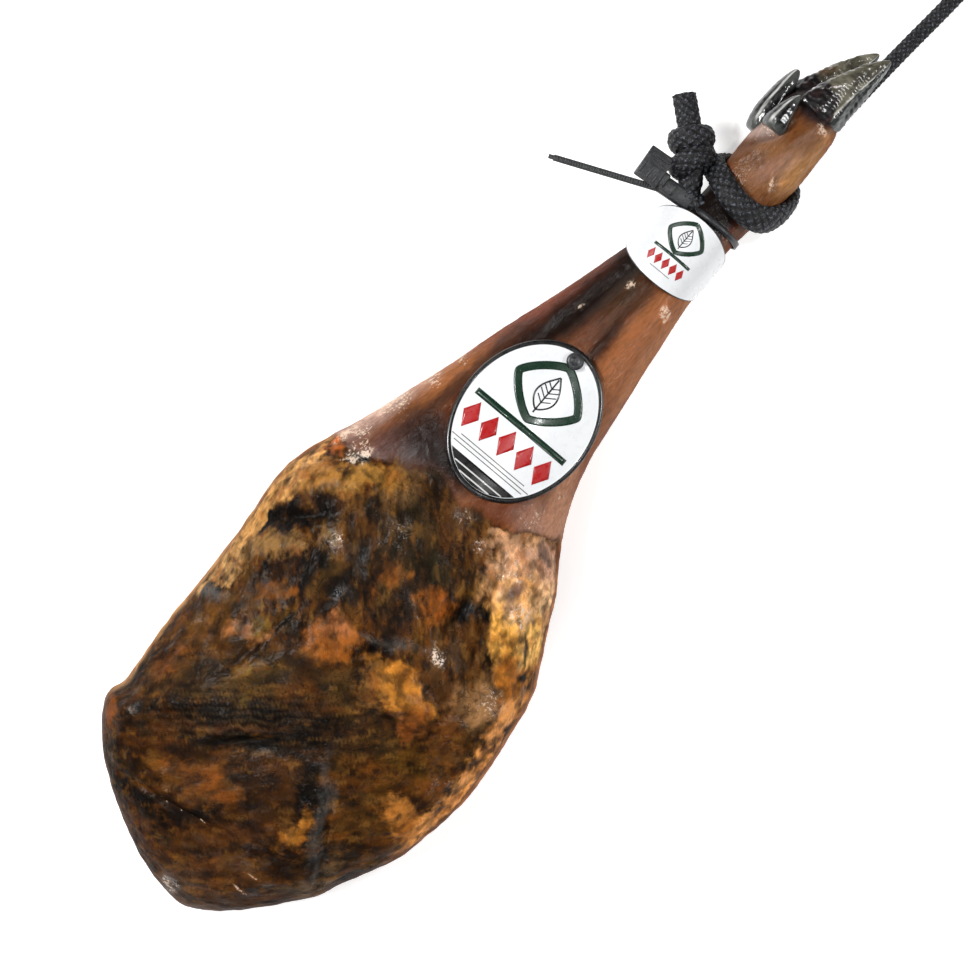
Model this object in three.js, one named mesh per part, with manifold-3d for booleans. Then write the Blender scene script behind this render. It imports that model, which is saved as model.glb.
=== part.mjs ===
// A whole dry-cured ham on the bone, lying on its flat side: the leg with its hoof, the braided tie
// round the ankle, the cord it hangs by, a plastic seal, a paper band and an oval label.
// Millimetres. X runs from the butt to the hoof, Z is up, and the table is the plane Z = 0.

import * as THREE from "three";
import { mergeVertices } from "three/addons/utils/BufferGeometryUtils.js";
import Module from "manifold-3d";

const wasm = await Module();
wasm.setup();

// Driving dimensions
const BUTT_X = -200;
const TOE_X = 586;
const FIT = 0.35; // gap between neighbouring pieces
const SECTION_POINTS = 46;
const SECTION_POWER = 0.9; // 1 is an ellipse, less is squarer
const RING_STEP = 16;

// Cross-sections of the leg: place along X, right and left edge, underside, height of the widest
// line, and crest. An underside below the table is cut off flat there, and the ham lies on it.
const LEG_STATIONS = [
  [-200, -22, -18, 44, 46, 48],
  [-197, -31, 2, 33, 46, 62],
  [-190, -41, 26, 22, 47, 76],
  [-180, -53, 47, 12, 48, 87],
  [-165, -68, 73, 3, 50, 97],
  [-150, -80, 94, -1, 51, 104],
  [-130, -97, 112, -4, 52, 110],
  [-113, -103, 122, -5, 53, 113],
  [-98, -111, 117, -6, 54, 115],
  [-60, -127, 121, -7, 54, 119],
  [0, -135, 122, -7, 54, 121],
  [50, -131, 124, -6, 53, 118],
  [92, -122, 129, -5, 52, 113],
  [130, -103, 122, -2, 51, 107],
  [160, -87, 109, 1, 50, 101],
  [200, -61, 96, 4, 49, 94],
  [240, -46, 83, 7, 48, 88],
  [290, -38, 69, 10, 47, 82],
  [340, -31, 53, 12, 45, 76],
  [390, -25, 39, 13, 43, 70],
  [430, -22, 27, 13, 39, 64],
  [456, -23, 21, 13, 37, 60],
  [480, -28, 21, 14, 37, 60],
  [505, -31, 23, 15, 38, 62],
  [535, -31, 22, 16, 37, 60],
  [558, -29, 20, 17, 37, 57],
  [570, -22, 12, 23, 36, 49],
  [580, -14, 4, 29, 36, 43],
  [TOE_X, -8, -3, 33, 35, 37],
];

// Forms on the upper side: centre, half length and half width, turn in degrees from +X, and height.
const LEG_RELIEF = [
  { form: "valley beside the shank tendon", x: 335, y: 33, along: 58, across: 8, turn: -8, height: -8 },
  { form: "valley along the shank bone", x: 325, y: 4, along: 52, across: 7, turn: -2, height: -5 },
  { form: "fold of the butt", x: -136, y: 28, along: 46, across: 6, turn: 93, height: -4 },
  { form: "hip bone knob", x: -116, y: 108, along: 15, across: 13, turn: 0, height: 7 },
  { form: "hollow by the hip bone", x: -78, y: 16, along: 62, across: 16, turn: -42, height: -8 },
  { form: "muscle above the hollow", x: -62, y: 66, along: 66, across: 15, turn: -36, height: 5 },
  { form: "seam below the hollow", x: -78, y: -56, along: 60, across: 12, turn: 28, height: 5 },
  { form: "soft pit at the butt", x: -122, y: -18, along: 20, across: 42, turn: 0, height: -4 },
  { form: "fat roll in the middle", x: 27, y: -42, along: 34, across: 15, turn: 84, height: 5 },
  { form: "fat bulge on the right", x: 128, y: -66, along: 62, across: 20, turn: 38, height: 6 },
  { form: "groove beside the fat bulge", x: 92, y: -50, along: 62, across: 12, turn: 42, height: -6 },
  { form: "pad at the top left", x: 58, y: 84, along: 26, across: 13, turn: -52, height: 4 },
  { form: "pad below the skin edge", x: 122, y: 88, along: 34, across: 12, turn: -52, height: 4 },
  { form: "step of the skin edge", x: 156, y: 66, along: 46, across: 9, turn: -62, height: -4 },
  { form: "pad under the dewclaws", x: 524, y: 10, along: 16, across: 14, turn: 0, height: 4 },
];

// Foot: the sole faces up and to the left, and the two toes lie beside each other across it.
const FOOT_CENTRE = new THREE.Vector3(558, -2, 36.5);
const SOLE_WAY = new THREE.Vector3(0, 0.85, 0.53).normalize();
const TOE_WAY = new THREE.Vector3(0, -0.53, 0.85).normalize();
const CLAW = { width: 23.4, depth: 42, taper: 0.6, rootSize: 0.9, rootLength: 0.1, rings: 9, sides: 16 };
const DEWCLAW = { width: 22, depth: 19, taper: 0.6, rootSize: 0.45, rootLength: 0.25, rings: 9, sides: 12 };
const CLAW_GAP = 0.5; // half of the gap between the two main claws at their roots
const DEWCLAW_REACH = 19.5;

// Tie, a flat braid: width and thickness where it lies round the ankle, and where it is knotted
const COLLAR_WIDTH = 22;
const CORD_THICKNESS = 12;
const CORD_WIDTH = 18;
const HANGING_DIAMETER = 12;
const HANGING_START = new THREE.Vector3(522, -24, HANGING_DIAMETER / 2);
const HANGING_END = new THREE.Vector3(744, -32, 8);
const EYE_LENGTH = 62;
const EYE_HALF_WIDTH = 19;

// Seal, one moulding of strap, lock, flag and notched tail
const SEAL_X = 446;
const STRAP_WIDTH = 5;
const STRAP_THICKNESS = 1.6;
const TAIL_LENGTH = 88;
const FLAG = { x: 450, y: 61, z: 57, length: 26, width: 20, thickness: 2.2 };

// Paper band round the shank, wider in front than behind
const BAND = { x: 411, y: 7, z: 42.5, halfWide: 33, halfHigh: 32.5, front: 60, back: 22, thickness: 0.9 };

// Oval label, a slightly domed plate that bends over the shank
const OVAL = { x: 242, y: 12.5, halfLong: 66, halfWide: 51.5, thickness: 1.8, dome: 0.9 };
const OVAL_SLOPE = -0.13;
const OVAL_BEND = 150;

// Smooth value at x through [x, value] pairs. The slope at each pair comes from its neighbours.
function smooth(pairs, x) {
  const last = pairs.length - 1;
  if (x <= pairs[0][0]) return pairs[0][1];
  if (x >= pairs[last][0]) return pairs[last][1];
  const i = pairs.findIndex(([place]) => place > x) - 1;
  const slope = (j) => {
    const before = pairs[Math.max(j - 1, 0)];
    const after = pairs[Math.min(j + 1, last)];
    return (after[1] - before[1]) / (after[0] - before[0]);
  };
  const [x0, y0] = pairs[i];
  const [x1, y1] = pairs[i + 1];
  const w = x1 - x0;
  const t = (x - x0) / w;
  const s = 1 - t;
  const start = (1 + 2 * t) * s * s * y0 + t * s * s * w * slope(i);
  const end = t * t * (3 - 2 * t) * y1 - t * t * s * w * slope(i + 1);
  return start + end;
}

const signedPower = (v, power) => Math.sign(v) * Math.abs(v) ** power;
const radians = THREE.MathUtils.degToRad;
const turns = (count) => Array.from({ length: count }, (_, i) => (2 * Math.PI * i) / count);

function sectionAt(x) {
  const column = (k) => smooth(LEG_STATIONS.map((row) => [row[0], row[k]]), x);
  return { right: column(1), left: column(2), bottom: column(3), wide: column(4), top: column(5) };
}

// Height that the forms of the upper side add at a point seen from above.
function reliefAt(x, y) {
  return LEG_RELIEF.reduce((sum, form) => {
    const turn = radians(form.turn);
    const dx = x - form.x;
    const dy = y - form.y;
    const along = (dx * Math.cos(turn) + dy * Math.sin(turn)) / form.along;
    const across = (dy * Math.cos(turn) - dx * Math.sin(turn)) / form.across;
    return sum + form.height * Math.exp(-along * along - across * across);
  }, 0);
}

// Height of the leg's upper surface at a point seen from above.
function legTop(x, y) {
  const at = sectionAt(x);
  const half = (at.left - at.right) / 2;
  const across = Math.min(1, Math.abs(y - (at.left + at.right) / 2) / half) ** (1 / SECTION_POWER);
  const rise = Math.sqrt(1 - across * across) ** SECTION_POWER;
  return at.wide + (at.top - at.wide) * rise + reliefAt(x, y) * rise;
}

// Closed surface through rings of points. The ends close on the rings' middles unless it is a loop.
function skin(rings, loop = false) {
  const count = rings[0].length;
  const points = rings.flat();
  const faces = [];
  const spans = loop ? rings.length : rings.length - 1;
  for (let i = 0; i < spans; i++) {
    for (let j = 0; j < count; j++) {
      const a = i * count + j;
      const b = i * count + ((j + 1) % count);
      const c = ((i + 1) % rings.length) * count + j;
      const d = ((i + 1) % rings.length) * count + ((j + 1) % count);
      faces.push(a, b, d, a, d, c);
    }
  }
  if (!loop) {
    const middle = (ring) => ring.reduce((sum, p) => sum.add(p), new THREE.Vector3()).divideScalar(count);
    const first = points.push(middle(rings[0])) - 1;
    const last = points.push(middle(rings[rings.length - 1])) - 1;
    const start = (rings.length - 1) * count;
    for (let j = 0; j < count; j++) {
      const next = (j + 1) % count;
      faces.push(first, next, j, last, start + j, start + next);
    }
  }
  return new THREE.BufferGeometry().setFromPoints(points).setIndex(faces);
}

function solidOf(geometry) {
  const bare = geometry.clone();
  bare.deleteAttribute("normal");
  bare.deleteAttribute("uv");
  const merged = mergeVertices(bare, 1e-4);
  const made = new wasm.Manifold(
    new wasm.Mesh({
      numProp: 3,
      vertProperties: new Float32Array(merged.attributes.position.array),
      triVerts: new Uint32Array(merged.index.array),
    }),
  );
  if (made.volume() < 0) throw new Error("a surface faces inwards");
  return made;
}

function geometryOf(solid) {
  const mesh = solid.getMesh();
  const geometry = new THREE.BufferGeometry();
  geometry.setAttribute("position", new THREE.BufferAttribute(mesh.vertProperties, 3));
  geometry.setIndex(new THREE.BufferAttribute(mesh.triVerts, 1));
  geometry.computeVertexNormals();
  return geometry;
}

const largest = (solid) => solid.decompose().sort((a, b) => b.volume() - a.volume())[0];
const joined = (solids) => solids.reduce((sum, solid) => sum.add(solid));

// A tube along points. Each section is width across the path and thickness along the flat way, which
// is the way that the braid's flat side faces there.
function tube({ points, flatWay, width, thickness, sides, loop = false, square = false }) {
  const count = points.length;
  const at = (value, i) => (typeof value === "function" ? value(i / count) : value);
  const rings = points.map((point, i) => {
    const before = points[loop ? (i + count - 1) % count : Math.max(i - 1, 0)];
    const after = points[loop ? (i + 1) % count : Math.min(i + 1, count - 1)];
    const way = after.clone().sub(before).normalize();
    const flat = (Array.isArray(flatWay) ? flatWay[i] : flatWay).clone();
    flat.addScaledVector(way, -flat.dot(way)).normalize();
    const across = way.clone().cross(flat);
    const corners = square ? turns(4).map((a) => a + Math.PI / 4) : turns(sides);
    const reach = square ? Math.SQRT1_2 : 0.5;
    return corners.map((a) =>
      point
        .clone()
        .addScaledVector(flat, Math.cos(a) * at(thickness, i) * reach)
        .addScaledVector(across, Math.sin(a) * at(width, i) * reach),
    );
  });
  return skin(rings.map((ring) => ring.reverse()).reverse(), loop);
}

const curve = (places, steps, loop = false) =>
  new THREE.CatmullRomCurve3(places.map((p) => new THREE.Vector3(...p)), loop).getSpacedPoints(steps);

// The leg, grown by a little where it cuts a neighbour to leave the gap.
function leg(grow = 0) {
  const places = [];
  for (let x = BUTT_X; x < BUTT_X + 60; x += 1.5 + (x - BUTT_X) * 0.19) places.push(x);
  for (let x = places[places.length - 1] + RING_STEP; x < TOE_X - 38; x += RING_STEP) places.push(x);
  for (const back of [30, 20, 12, 6, 2, 0]) places.push(TOE_X - back);
  const middle = (BUTT_X + TOE_X) / 2;
  const floor = grow ? -Infinity : 0;
  const rings = places.map((x) => {
    const at = sectionAt(x);
    const half = (at.left - at.right) / 2 + grow;
    const reach = x + (x < middle ? -grow : grow) * (Math.abs(x - middle) > middle - BUTT_X - 12 ? 1 : 0);
    return turns(SECTION_POINTS).map((a) => {
      const across = signedPower(Math.cos(a), SECTION_POWER);
      const rise = signedPower(Math.sin(a), SECTION_POWER);
      const y = (at.left + at.right) / 2 + half * across;
      const span = rise > 0 ? at.top - at.wide : at.wide - at.bottom;
      const z = at.wide + (span + grow) * rise + Math.max(rise, 0) * reliefAt(x, y);
      return new THREE.Vector3(reach, y, Math.max(z, floor));
    });
  });
  return solidOf(skin(rings));
}

// A horn that tapers from its root to its tip, bowed by a sag at its middle. Its root starts narrower.
function horn({ root, tip, sag, width, depth, taper, rootSize, rootLength, rings, sides }) {
  const middle = root.clone().lerp(tip, 0.5).add(sag);
  const axis = new THREE.QuadraticBezierCurve3(root, middle, tip);
  const shape = Array.from({ length: rings }, (_, i) => {
    const t = Math.sin((0.93 * Math.PI * i) / (2 * (rings - 1))) ** 1.3;
    const point = axis.getPoint(t);
    const swell = rootSize + (1 - rootSize) * Math.min(1, t / rootLength) ** 0.5;
    const size = (swell * (1 - t) ** taper) / 2;
    return turns(sides).map((a) =>
      point
        .clone()
        .addScaledVector(TOE_WAY, Math.cos(a) * width * size)
        .addScaledVector(SOLE_WAY, signedPower(Math.sin(a), 0.85) * depth * size),
    );
  });
  const outward = new THREE.Vector3().crossVectors(TOE_WAY, SOLE_WAY).x > 0;
  return solidOf(skin(outward ? shape : shape.map((ring) => ring.reverse())));
}

// Main claw of one toe. Side is 1 for the upper toe and -1 for the lower one. Its front wall runs
// straight on from the leg, and the sole slopes back from the tip.
function mainClaw(side) {
  const root = FOOT_CENTRE.clone().addScaledVector(TOE_WAY, (CLAW.width / 2 + CLAW_GAP) * side);
  const tip = side > 0 ? new THREE.Vector3(627, -24, 43) : new THREE.Vector3(630, -14, 22);
  const sag = new THREE.Vector3(0, 5, 0);
  return horn({ root, tip, sag, ...CLAW });
}

function dewclaw(side) {
  const aside = (DEWCLAW.width / 2 + 2 * CLAW_GAP) * side;
  const root = FOOT_CENTRE.clone().addScaledVector(SOLE_WAY, DEWCLAW_REACH).addScaledVector(TOE_WAY, aside);
  root.x = 519;
  const tip = new THREE.Vector3(side > 0 ? 565 : 578, root.y + (side > 0 ? 1 : 5), root.z + 5);
  const sag = SOLE_WAY.clone().multiplyScalar(2.5);
  return horn({ root, tip, sag, ...DEWCLAW });
}

// A flat turn of braid about a centre, seen edge on along its axis.
function wrapTurn(centre, aside, reach, width) {
  const up = new THREE.Vector3(0, 0, 1);
  const points = turns(22).map((a) =>
    centre.clone().addScaledVector(aside, reach * Math.cos(a)).addScaledVector(up, reach * Math.sin(a)),
  );
  const flatWay = points.map((p) => p.clone().sub(centre));
  return tube({ points, flatWay, width, thickness: CORD_THICKNESS, sides: 10, loop: true });
}

// The tie: a braid laid once round the ankle, knotted at the left with its cut end standing out,
// and a short stretch below the foot where it becomes the hanging cord.
function tie(grow = 0) {
  const wide = CORD_WIDTH + 2 * grow;
  const thick = CORD_THICKNESS + 2 * grow;
  const centre = new THREE.Vector3(486.5, -4, 36.5);
  const collarPoints = turns(34).map((a) => {
    const slant = -3 * Math.cos(a) - 19 * Math.sin(a) + 4 * Math.sin(2 * a);
    return new THREE.Vector3(centre.x + slant, centre.y + 31 * Math.cos(a), centre.z + 30.5 * Math.sin(a));
  });
  const outward = collarPoints.map((p) => p.clone().sub(centre).setX(0));
  const spread = (COLLAR_WIDTH - CORD_WIDTH) / 2;
  const collar = tube({
    points: collarPoints,
    flatWay: outward,
    width: (t) => CORD_WIDTH + spread * (1 - Math.cos(2 * Math.PI * t)) + 2 * grow,
    thickness: thick,
    sides: 12,
    loop: true,
  });
  const up = new THREE.Vector3(0, 0, 1);
  const strand = (places, steps) =>
    tube({ points: curve(places, steps), flatWay: up, width: wide, thickness: thick, sides: 10 });
  const standing = strand([[480, 46, 47], [486, 54, 47], [495, 64, 45], [508, 79, 42]], 8);
  const link = strand([[480, 22, 44], [486, 31, 46], [484, 40, 48], [474, 43, 50]], 8);
  const { x, y, z } = HANGING_START;
  const last = x - FIT;
  const below = strand([[498, -2, z], [500, -12, z], [505, -20, z], [last - 8, y + 0.2, z], [last, y, z]], 10);
  const knot = wrapTurn(new THREE.Vector3(485, 53, 47), new THREE.Vector3(0.74, -0.67, 0), 12, wide);
  const loop = wrapTurn(new THREE.Vector3(473, 43, 48), new THREE.Vector3(0.95, -0.32, 0), 13, wide);
  return joined([collar, standing, link, below, knot, loop].map(solidOf));
}

// The cord runs straight along the table under the foot, and ends in an eye laid back beside itself.
function hangingCord() {
  const { x, y, z } = HANGING_END;
  const middle = HANGING_START.clone().lerp(HANGING_END, 0.5).setZ(HANGING_START.z);
  const beside = y + HANGING_DIAMETER + 0.6;
  const low = HANGING_DIAMETER / 2;
  const places = [
    HANGING_START.toArray(),
    middle.toArray(),
    [x - 34, y + 0.6, z],
    [x, y, z],
    [x + EYE_LENGTH * 0.3, y - 8, low],
    [x + EYE_LENGTH * 0.7, y - EYE_HALF_WIDTH + 5, low],
    [x + EYE_LENGTH, y + 6, low],
    [x + EYE_LENGTH * 0.7, beside + EYE_HALF_WIDTH - 5, low],
    [x + EYE_LENGTH * 0.3, beside + 8, low],
    [x, beside, z],
    [x - 34, beside + 0.6, z],
  ];
  const up = new THREE.Vector3(0, 0, 1);
  const round = { width: HANGING_DIAMETER, thickness: HANGING_DIAMETER, sides: 8 };
  return solidOf(tube({ points: curve(places, 50), flatWay: up, ...round }));
}

// Thread wound round the cord and its laid-back end, a sleeve that is open at both ends.
function eyeLashing() {
  const { x, y, z } = HANGING_END;
  const length = 20;
  const far = HANGING_DIAMETER / 2 + FIT;
  const stadium = (radius, flatBottom) => {
    const half = (HANGING_DIAMETER + 0.6) / 2;
    const shape = new THREE.Shape();
    shape.absarc(half, 0, radius, -Math.PI / 2, Math.PI / 2);
    shape.absarc(-half, 0, radius, Math.PI / 2, (3 * Math.PI) / 2);
    return flatBottom ? shape : new THREE.Path(shape.getPoints(8).reverse());
  };
  const outer = stadium(far + 1.4, true);
  outer.holes.push(stadium(far + 0.2, false));
  const sleeve = new THREE.ExtrudeGeometry(outer, { depth: length, bevelEnabled: false, curveSegments: 8 });
  sleeve.rotateX(Math.PI / 2);
  sleeve.rotateZ(Math.PI / 2);
  sleeve.translate(x - 28, y + 0.3 + (HANGING_DIAMETER + 0.6) / 2, z);
  return sleeve;
}

// A box by its centre, size and turn about Z in degrees.
function block([x, y, z], [length, width, height], turn = 0) {
  const box = new THREE.BoxGeometry(length, width, height);
  box.rotateZ(radians(turn));
  box.translate(x, y, z);
  return solidOf(box);
}

function seal() {
  const at = sectionAt(SEAL_X);
  const halfWide = (at.left - at.right) / 2 + 1.6;
  const ring = turns(40).map(
    (a) =>
      new THREE.Vector3(
        SEAL_X,
        (at.left + at.right) / 2 + halfWide * Math.cos(a),
        at.wide + (Math.sin(a) > 0 ? at.top - at.wide + 1.6 : at.wide - at.bottom + 1.6) * Math.sin(a),
      ),
  );
  const hub = new THREE.Vector3(SEAL_X, (at.left + at.right) / 2, at.wide);
  const strap = tube({
    points: ring,
    flatWay: ring.map((p) => p.clone().sub(hub)),
    width: STRAP_WIDTH,
    thickness: STRAP_THICKNESS,
    loop: true,
    square: true,
  });
  const tailFrom = new THREE.Vector3(441, 46, 52);
  const tailWay = new THREE.Vector3(-34, 77, 5).normalize();
  const tailTurn = THREE.MathUtils.radToDeg(Math.atan2(tailWay.y, tailWay.x));
  const onTail = (s) => tailFrom.clone().addScaledVector(tailWay, s);
  const tail = tube({
    points: [onTail(0), onTail(TAIL_LENGTH * 0.97), onTail(TAIL_LENGTH)],
    flatWay: new THREE.Vector3(0, 0, 1),
    width: (t) => (t > 0.6 ? STRAP_WIDTH * 0.55 : STRAP_WIDTH),
    thickness: STRAP_THICKNESS,
    square: true,
  });
  const teeth = Array.from({ length: 14 }, (_, i) => {
    const p = onTail(14 + i * 3.6);
    return block([p.x, p.y, p.z + STRAP_THICKNESS * 0.6], [1.4, STRAP_WIDTH - 1.4, 1], tailTurn);
  });
  const lock = block([SEAL_X, 37, 50], [14, 28, 8], 6);
  const flag = block([FLAG.x, FLAG.y, FLAG.z], [FLAG.length, FLAG.width, FLAG.thickness], 5);
  const neck = block([FLAG.x - 3, 52, 53.5], [12, 12, 7], 5);
  const ribs = [0, 1, 2, 3].map((i) =>
    block([FLAG.x + 1.5 + i * 3.2, FLAG.y - 1, FLAG.z + FLAG.thickness / 2], [1.3, 13, 1.4], 5),
  );
  return joined([solidOf(strap), solidOf(tail), ...teeth, lock, flag, neck, ...ribs]);
}

function paperBand() {
  const hub = new THREE.Vector3(BAND.x, BAND.y, BAND.z);
  const points = turns(40).map(
    (a) => new THREE.Vector3(0, BAND.halfWide * Math.cos(a), BAND.halfHigh * Math.sin(a)).add(hub),
  );
  const width = (t) => {
    const facing = Math.sin(2 * Math.PI * t);
    return BAND.back + (BAND.front - BAND.back) * (0.5 + 0.5 * facing) ** 1.2;
  };
  const flatWay = points.map((p) => p.clone().sub(hub));
  return solidOf(tube({ points, flatWay, width, thickness: BAND.thickness, loop: true, square: true }));
}

// Underside of the oval label at a point seen from above, before it is lifted on to the leg.
const ovalBend = (x, y) => OVAL_SLOPE * (x - OVAL.x) - (y - OVAL.y) ** 2 / (2 * OVAL_BEND);

function ovalLift() {
  let lift = -Infinity;
  for (let r = 0; r <= 1; r += 0.1) {
    for (const a of turns(36)) {
      const x = OVAL.x + r * OVAL.halfLong * Math.cos(a);
      const y = OVAL.y + r * OVAL.halfWide * Math.sin(a);
      lift = Math.max(lift, legTop(x, y) - ovalBend(x, y));
    }
  }
  return lift + FIT + 0.2;
}

// A lathe profile of radius 1, stretched to the oval and bent over the shank.
function ovalLabel() {
  const rim = 0.9;
  const profile = [
    [0, 0],
    [0.35, 0],
    [0.7, 0],
    [0.985, 0],
    [1, rim / 2],
    [0.985, rim + 0.5],
    [0.955, rim + 0.5],
    [0.94, OVAL.thickness - 0.6],
    [0.7, OVAL.thickness + OVAL.dome * 0.5],
    [0.35, OVAL.thickness + OVAL.dome * 0.9],
    [0, OVAL.thickness + OVAL.dome],
  ];
  const plate = new THREE.LatheGeometry(profile.map((p) => new THREE.Vector2(...p)), 36);
  plate.rotateX(Math.PI / 2);
  const position = plate.getAttribute("position");
  const lift = ovalLift();
  for (let i = 0; i < position.count; i++) {
    const x = OVAL.x + position.getX(i) * OVAL.halfLong;
    const y = OVAL.y + position.getY(i) * OVAL.halfWide;
    position.setXYZ(i, x, y, position.getZ(i) + ovalBend(x, y) + lift);
  }
  return solidOf(plate);
}

// Button that pins the label near its hoof end.
function labelButton() {
  const x = OVAL.x + OVAL.halfLong - 9;
  const profile = [
    [0, 0],
    [5.6, 0],
    [6.6, 0.8],
    [6, 2],
    [3.6, 2.8],
    [2.6, 2.2],
    [0, 2.1],
  ];
  const button = new THREE.LatheGeometry(profile.map((p) => new THREE.Vector2(...p)), 16);
  button.rotateX(Math.PI / 2);
  button.rotateY(Math.atan(-OVAL_SLOPE));
  button.translate(x, OVAL.y, ovalBend(x, OVAL.y) + ovalLift() + OVAL.thickness + FIT + 0.1);
  return button;
}

const material = (color, roughness) => new THREE.MeshStandardMaterial({ color, roughness, metalness: 0 });
const MATERIALS = {
  meat: material(0x6b3a1c, 0.45),
  horn: material(0x2b2a26, 0.35),
  rope: material(0x17171b, 0.9),
  plastic: material(0x1e1f20, 0.5),
  paper: material(0xf2f2ef, 0.35),
};

const ham = new THREE.Group();
function addPiece(name, shape, finish) {
  const mesh = new THREE.Mesh(shape instanceof THREE.BufferGeometry ? shape : geometryOf(shape), finish);
  mesh.name = name;
  ham.add(mesh);
}

const legSolid = leg();
const legRoom = leg(FIT);
const tieRoom = tie(FIT);
const upperClaw = largest(mainClaw(1).subtract(legRoom));
const lowerClaw = largest(mainClaw(-1).subtract(legRoom));

addPiece("ham", legSolid, MATERIALS.meat);
addPiece("claw_upper", upperClaw, MATERIALS.horn);
addPiece("claw_lower", lowerClaw, MATERIALS.horn);
addPiece("dewclaw_upper", largest(dewclaw(1).subtract(legRoom)), MATERIALS.horn);
addPiece("dewclaw_lower", largest(dewclaw(-1).subtract(legRoom)), MATERIALS.horn);
addPiece("tie_rope", largest(tie().subtract(legRoom)), MATERIALS.rope);
addPiece("hanging_cord", hangingCord(), MATERIALS.rope);
addPiece("eye_lashing", eyeLashing(), MATERIALS.rope);
addPiece("seal", largest(seal().subtract(legRoom).subtract(tieRoom)), MATERIALS.plastic);
addPiece("paper_band", largest(paperBand().subtract(legRoom)), MATERIALS.paper);
addPiece("oval_label", ovalLabel(), MATERIALS.paper);
addPiece("label_button", labelButton(), MATERIALS.plastic);

export default ham;
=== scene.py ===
"""The looks of a whole dry-cured ham on the bone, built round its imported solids.

Lengths below are in millimetres and are turned into metres where a mesh is made. X runs from the
butt to the hoof, Z is up, and the floor is Z = 0.
"""

import math

import bmesh
import bpy
import numpy as np
from mathutils import Matrix, Vector


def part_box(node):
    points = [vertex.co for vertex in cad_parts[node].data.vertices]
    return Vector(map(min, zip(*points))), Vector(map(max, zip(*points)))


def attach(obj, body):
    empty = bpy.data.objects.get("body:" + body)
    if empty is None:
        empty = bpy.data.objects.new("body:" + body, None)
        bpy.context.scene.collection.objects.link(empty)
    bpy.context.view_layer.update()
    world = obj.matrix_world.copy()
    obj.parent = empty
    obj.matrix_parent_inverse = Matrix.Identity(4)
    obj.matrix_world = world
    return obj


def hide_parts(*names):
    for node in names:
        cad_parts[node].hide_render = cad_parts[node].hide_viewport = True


MM = 0.001

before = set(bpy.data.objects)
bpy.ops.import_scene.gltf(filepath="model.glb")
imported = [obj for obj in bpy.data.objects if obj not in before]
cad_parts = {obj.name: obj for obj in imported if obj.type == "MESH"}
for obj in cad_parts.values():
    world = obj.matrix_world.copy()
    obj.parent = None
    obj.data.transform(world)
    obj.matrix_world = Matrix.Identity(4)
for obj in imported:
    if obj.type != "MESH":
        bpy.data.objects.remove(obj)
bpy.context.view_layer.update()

# Camera: straight above the ham, turned so that the hoof points to the upper right
LENS_MM = 100
SENSOR_MM = 36
CAMERA_AT = (0.1865, 0.0047, 2.0708)
CAMERA_TURN = math.radians(-50)

# Lights: name, bearing from +X and height in degrees, distance and size in metres, power in watts
LIGHT_TARGET = Vector((0.18, 0, 0.05))
WORLD_STRENGTH = 0.06
FLOOR_GLOW = 0.5
FLOOR_HALF = 4000
FLOOR_Z = -0.3
LIGHTS = [
    ("key", 92, 46, 2.2, 0.55, 40),
    ("right", -50, 38, 2.2, 0.5, 20),
    ("low_left", 200, 36, 2.2, 0.5, 9),
    ("glint", 140, 70, 2.0, 0.1, 7),
    ("second_glint", -20, 72, 2.0, 0.1, 5),
]

# Foot: the sole faces up and to the left, and the two toes lie beside each other across it
FOOT_CENTRE = np.array([558.0, -2.0, 36.5])
SOLE_WAY = np.array([0, 0.85, 0.53]) / math.hypot(0.85, 0.53)
TOE_WAY = np.array([0, -0.53, 0.85]) / math.hypot(0.85, 0.53)

HORN_GRID = (110, 88)
CLAW_WIDTH = 24
CLAW_DEPTH = 46
CLAW_SAG = (0, 4.0, 0)
CLAW_SHAPE = (0.6, 0.9, 0.1)
DEWCLAW_DEPTH = 22
# Toes: side of the foot, name and tip
CLAWS = [
    (1, "upper", (627, -24, 43)),
    (-1, "lower", (630, -14, 22)),
]
# Side claws: side, name, X and shift in Y of the root, X and shift in Y of the tip, and shape, which is
# the taper, the size of the root and the share of the length in which the horn swells from it
DEWCLAWS = [
    (1, "upper", 527, 3.5, 560.0, 0, (0.62, 0.7, 0.25)),
    (-1, "lower", 521, 0, 578.0, 4, (0.42, 0.6, 0.3)),
]
# Painted glints on the toes: centre, half length, half width and turn
CLAW_PAINTED_GLINTS = [
    (584, -6, 14, 1.6, -44),
    (572, 8, 9, 1.4, -20),
    (592, 2, 12, 1.2, -40),
]

# Tie and cord
CORD_THICKNESS = 12
CORD_WIDTH = 18
COLLAR_WIDTH = 22
HANGING_DIAMETER = 12
HANGING_START = np.array([522.0, -19.0, 6.0])
HANGING_END = np.array([744.0, -32.0, 8.0])
EYE_LENGTH = 62
EYE_HALF_WIDTH = 19
LASHING_LENGTH = 20
LASHING_FROM = -28
LASHING_TURNS = 9
LASHING_THREAD = 1.1
LASHING_GRID = (110, 64)
BRAID_STRANDS = 8
BRAID_LAY = 1.15
COLLAR_CENTRE = (486.5, -4, 36.5)
COLLAR_HALF_WIDE = 31
COLLAR_HALF_HIGH = 30.5
# Strands of the knot, each with the count of its rings: cut end, link, return and the way to the cord
TIE_STRANDS = [
    ([(480, 46, 47), (486, 54, 47), (495, 64, 45), (508, 79, 42)], 60),
    ([(478, 20, 44), (480, 30, 46), (480, 39, 48), (474, 43, 50)], 50),
    ([(472, 44, 50), (463, 35, 50), (450, 26, 48), (450, 10, 50)], 50),
    ([(498, 2, 6), (500, -8, 6), (505, -16, 6), (513.7, -18.8, 6), (521.7, -19, 6)], 60),
]
# Turns of the knot: centre, the level way in which each lies, and radius
TIE_LOOPS = [
    ((485, 53, 47), (0.74, -0.67, 0), 12),
    ((473, 43, 48), (0.95, -0.32, 0), 13),
]

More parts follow.
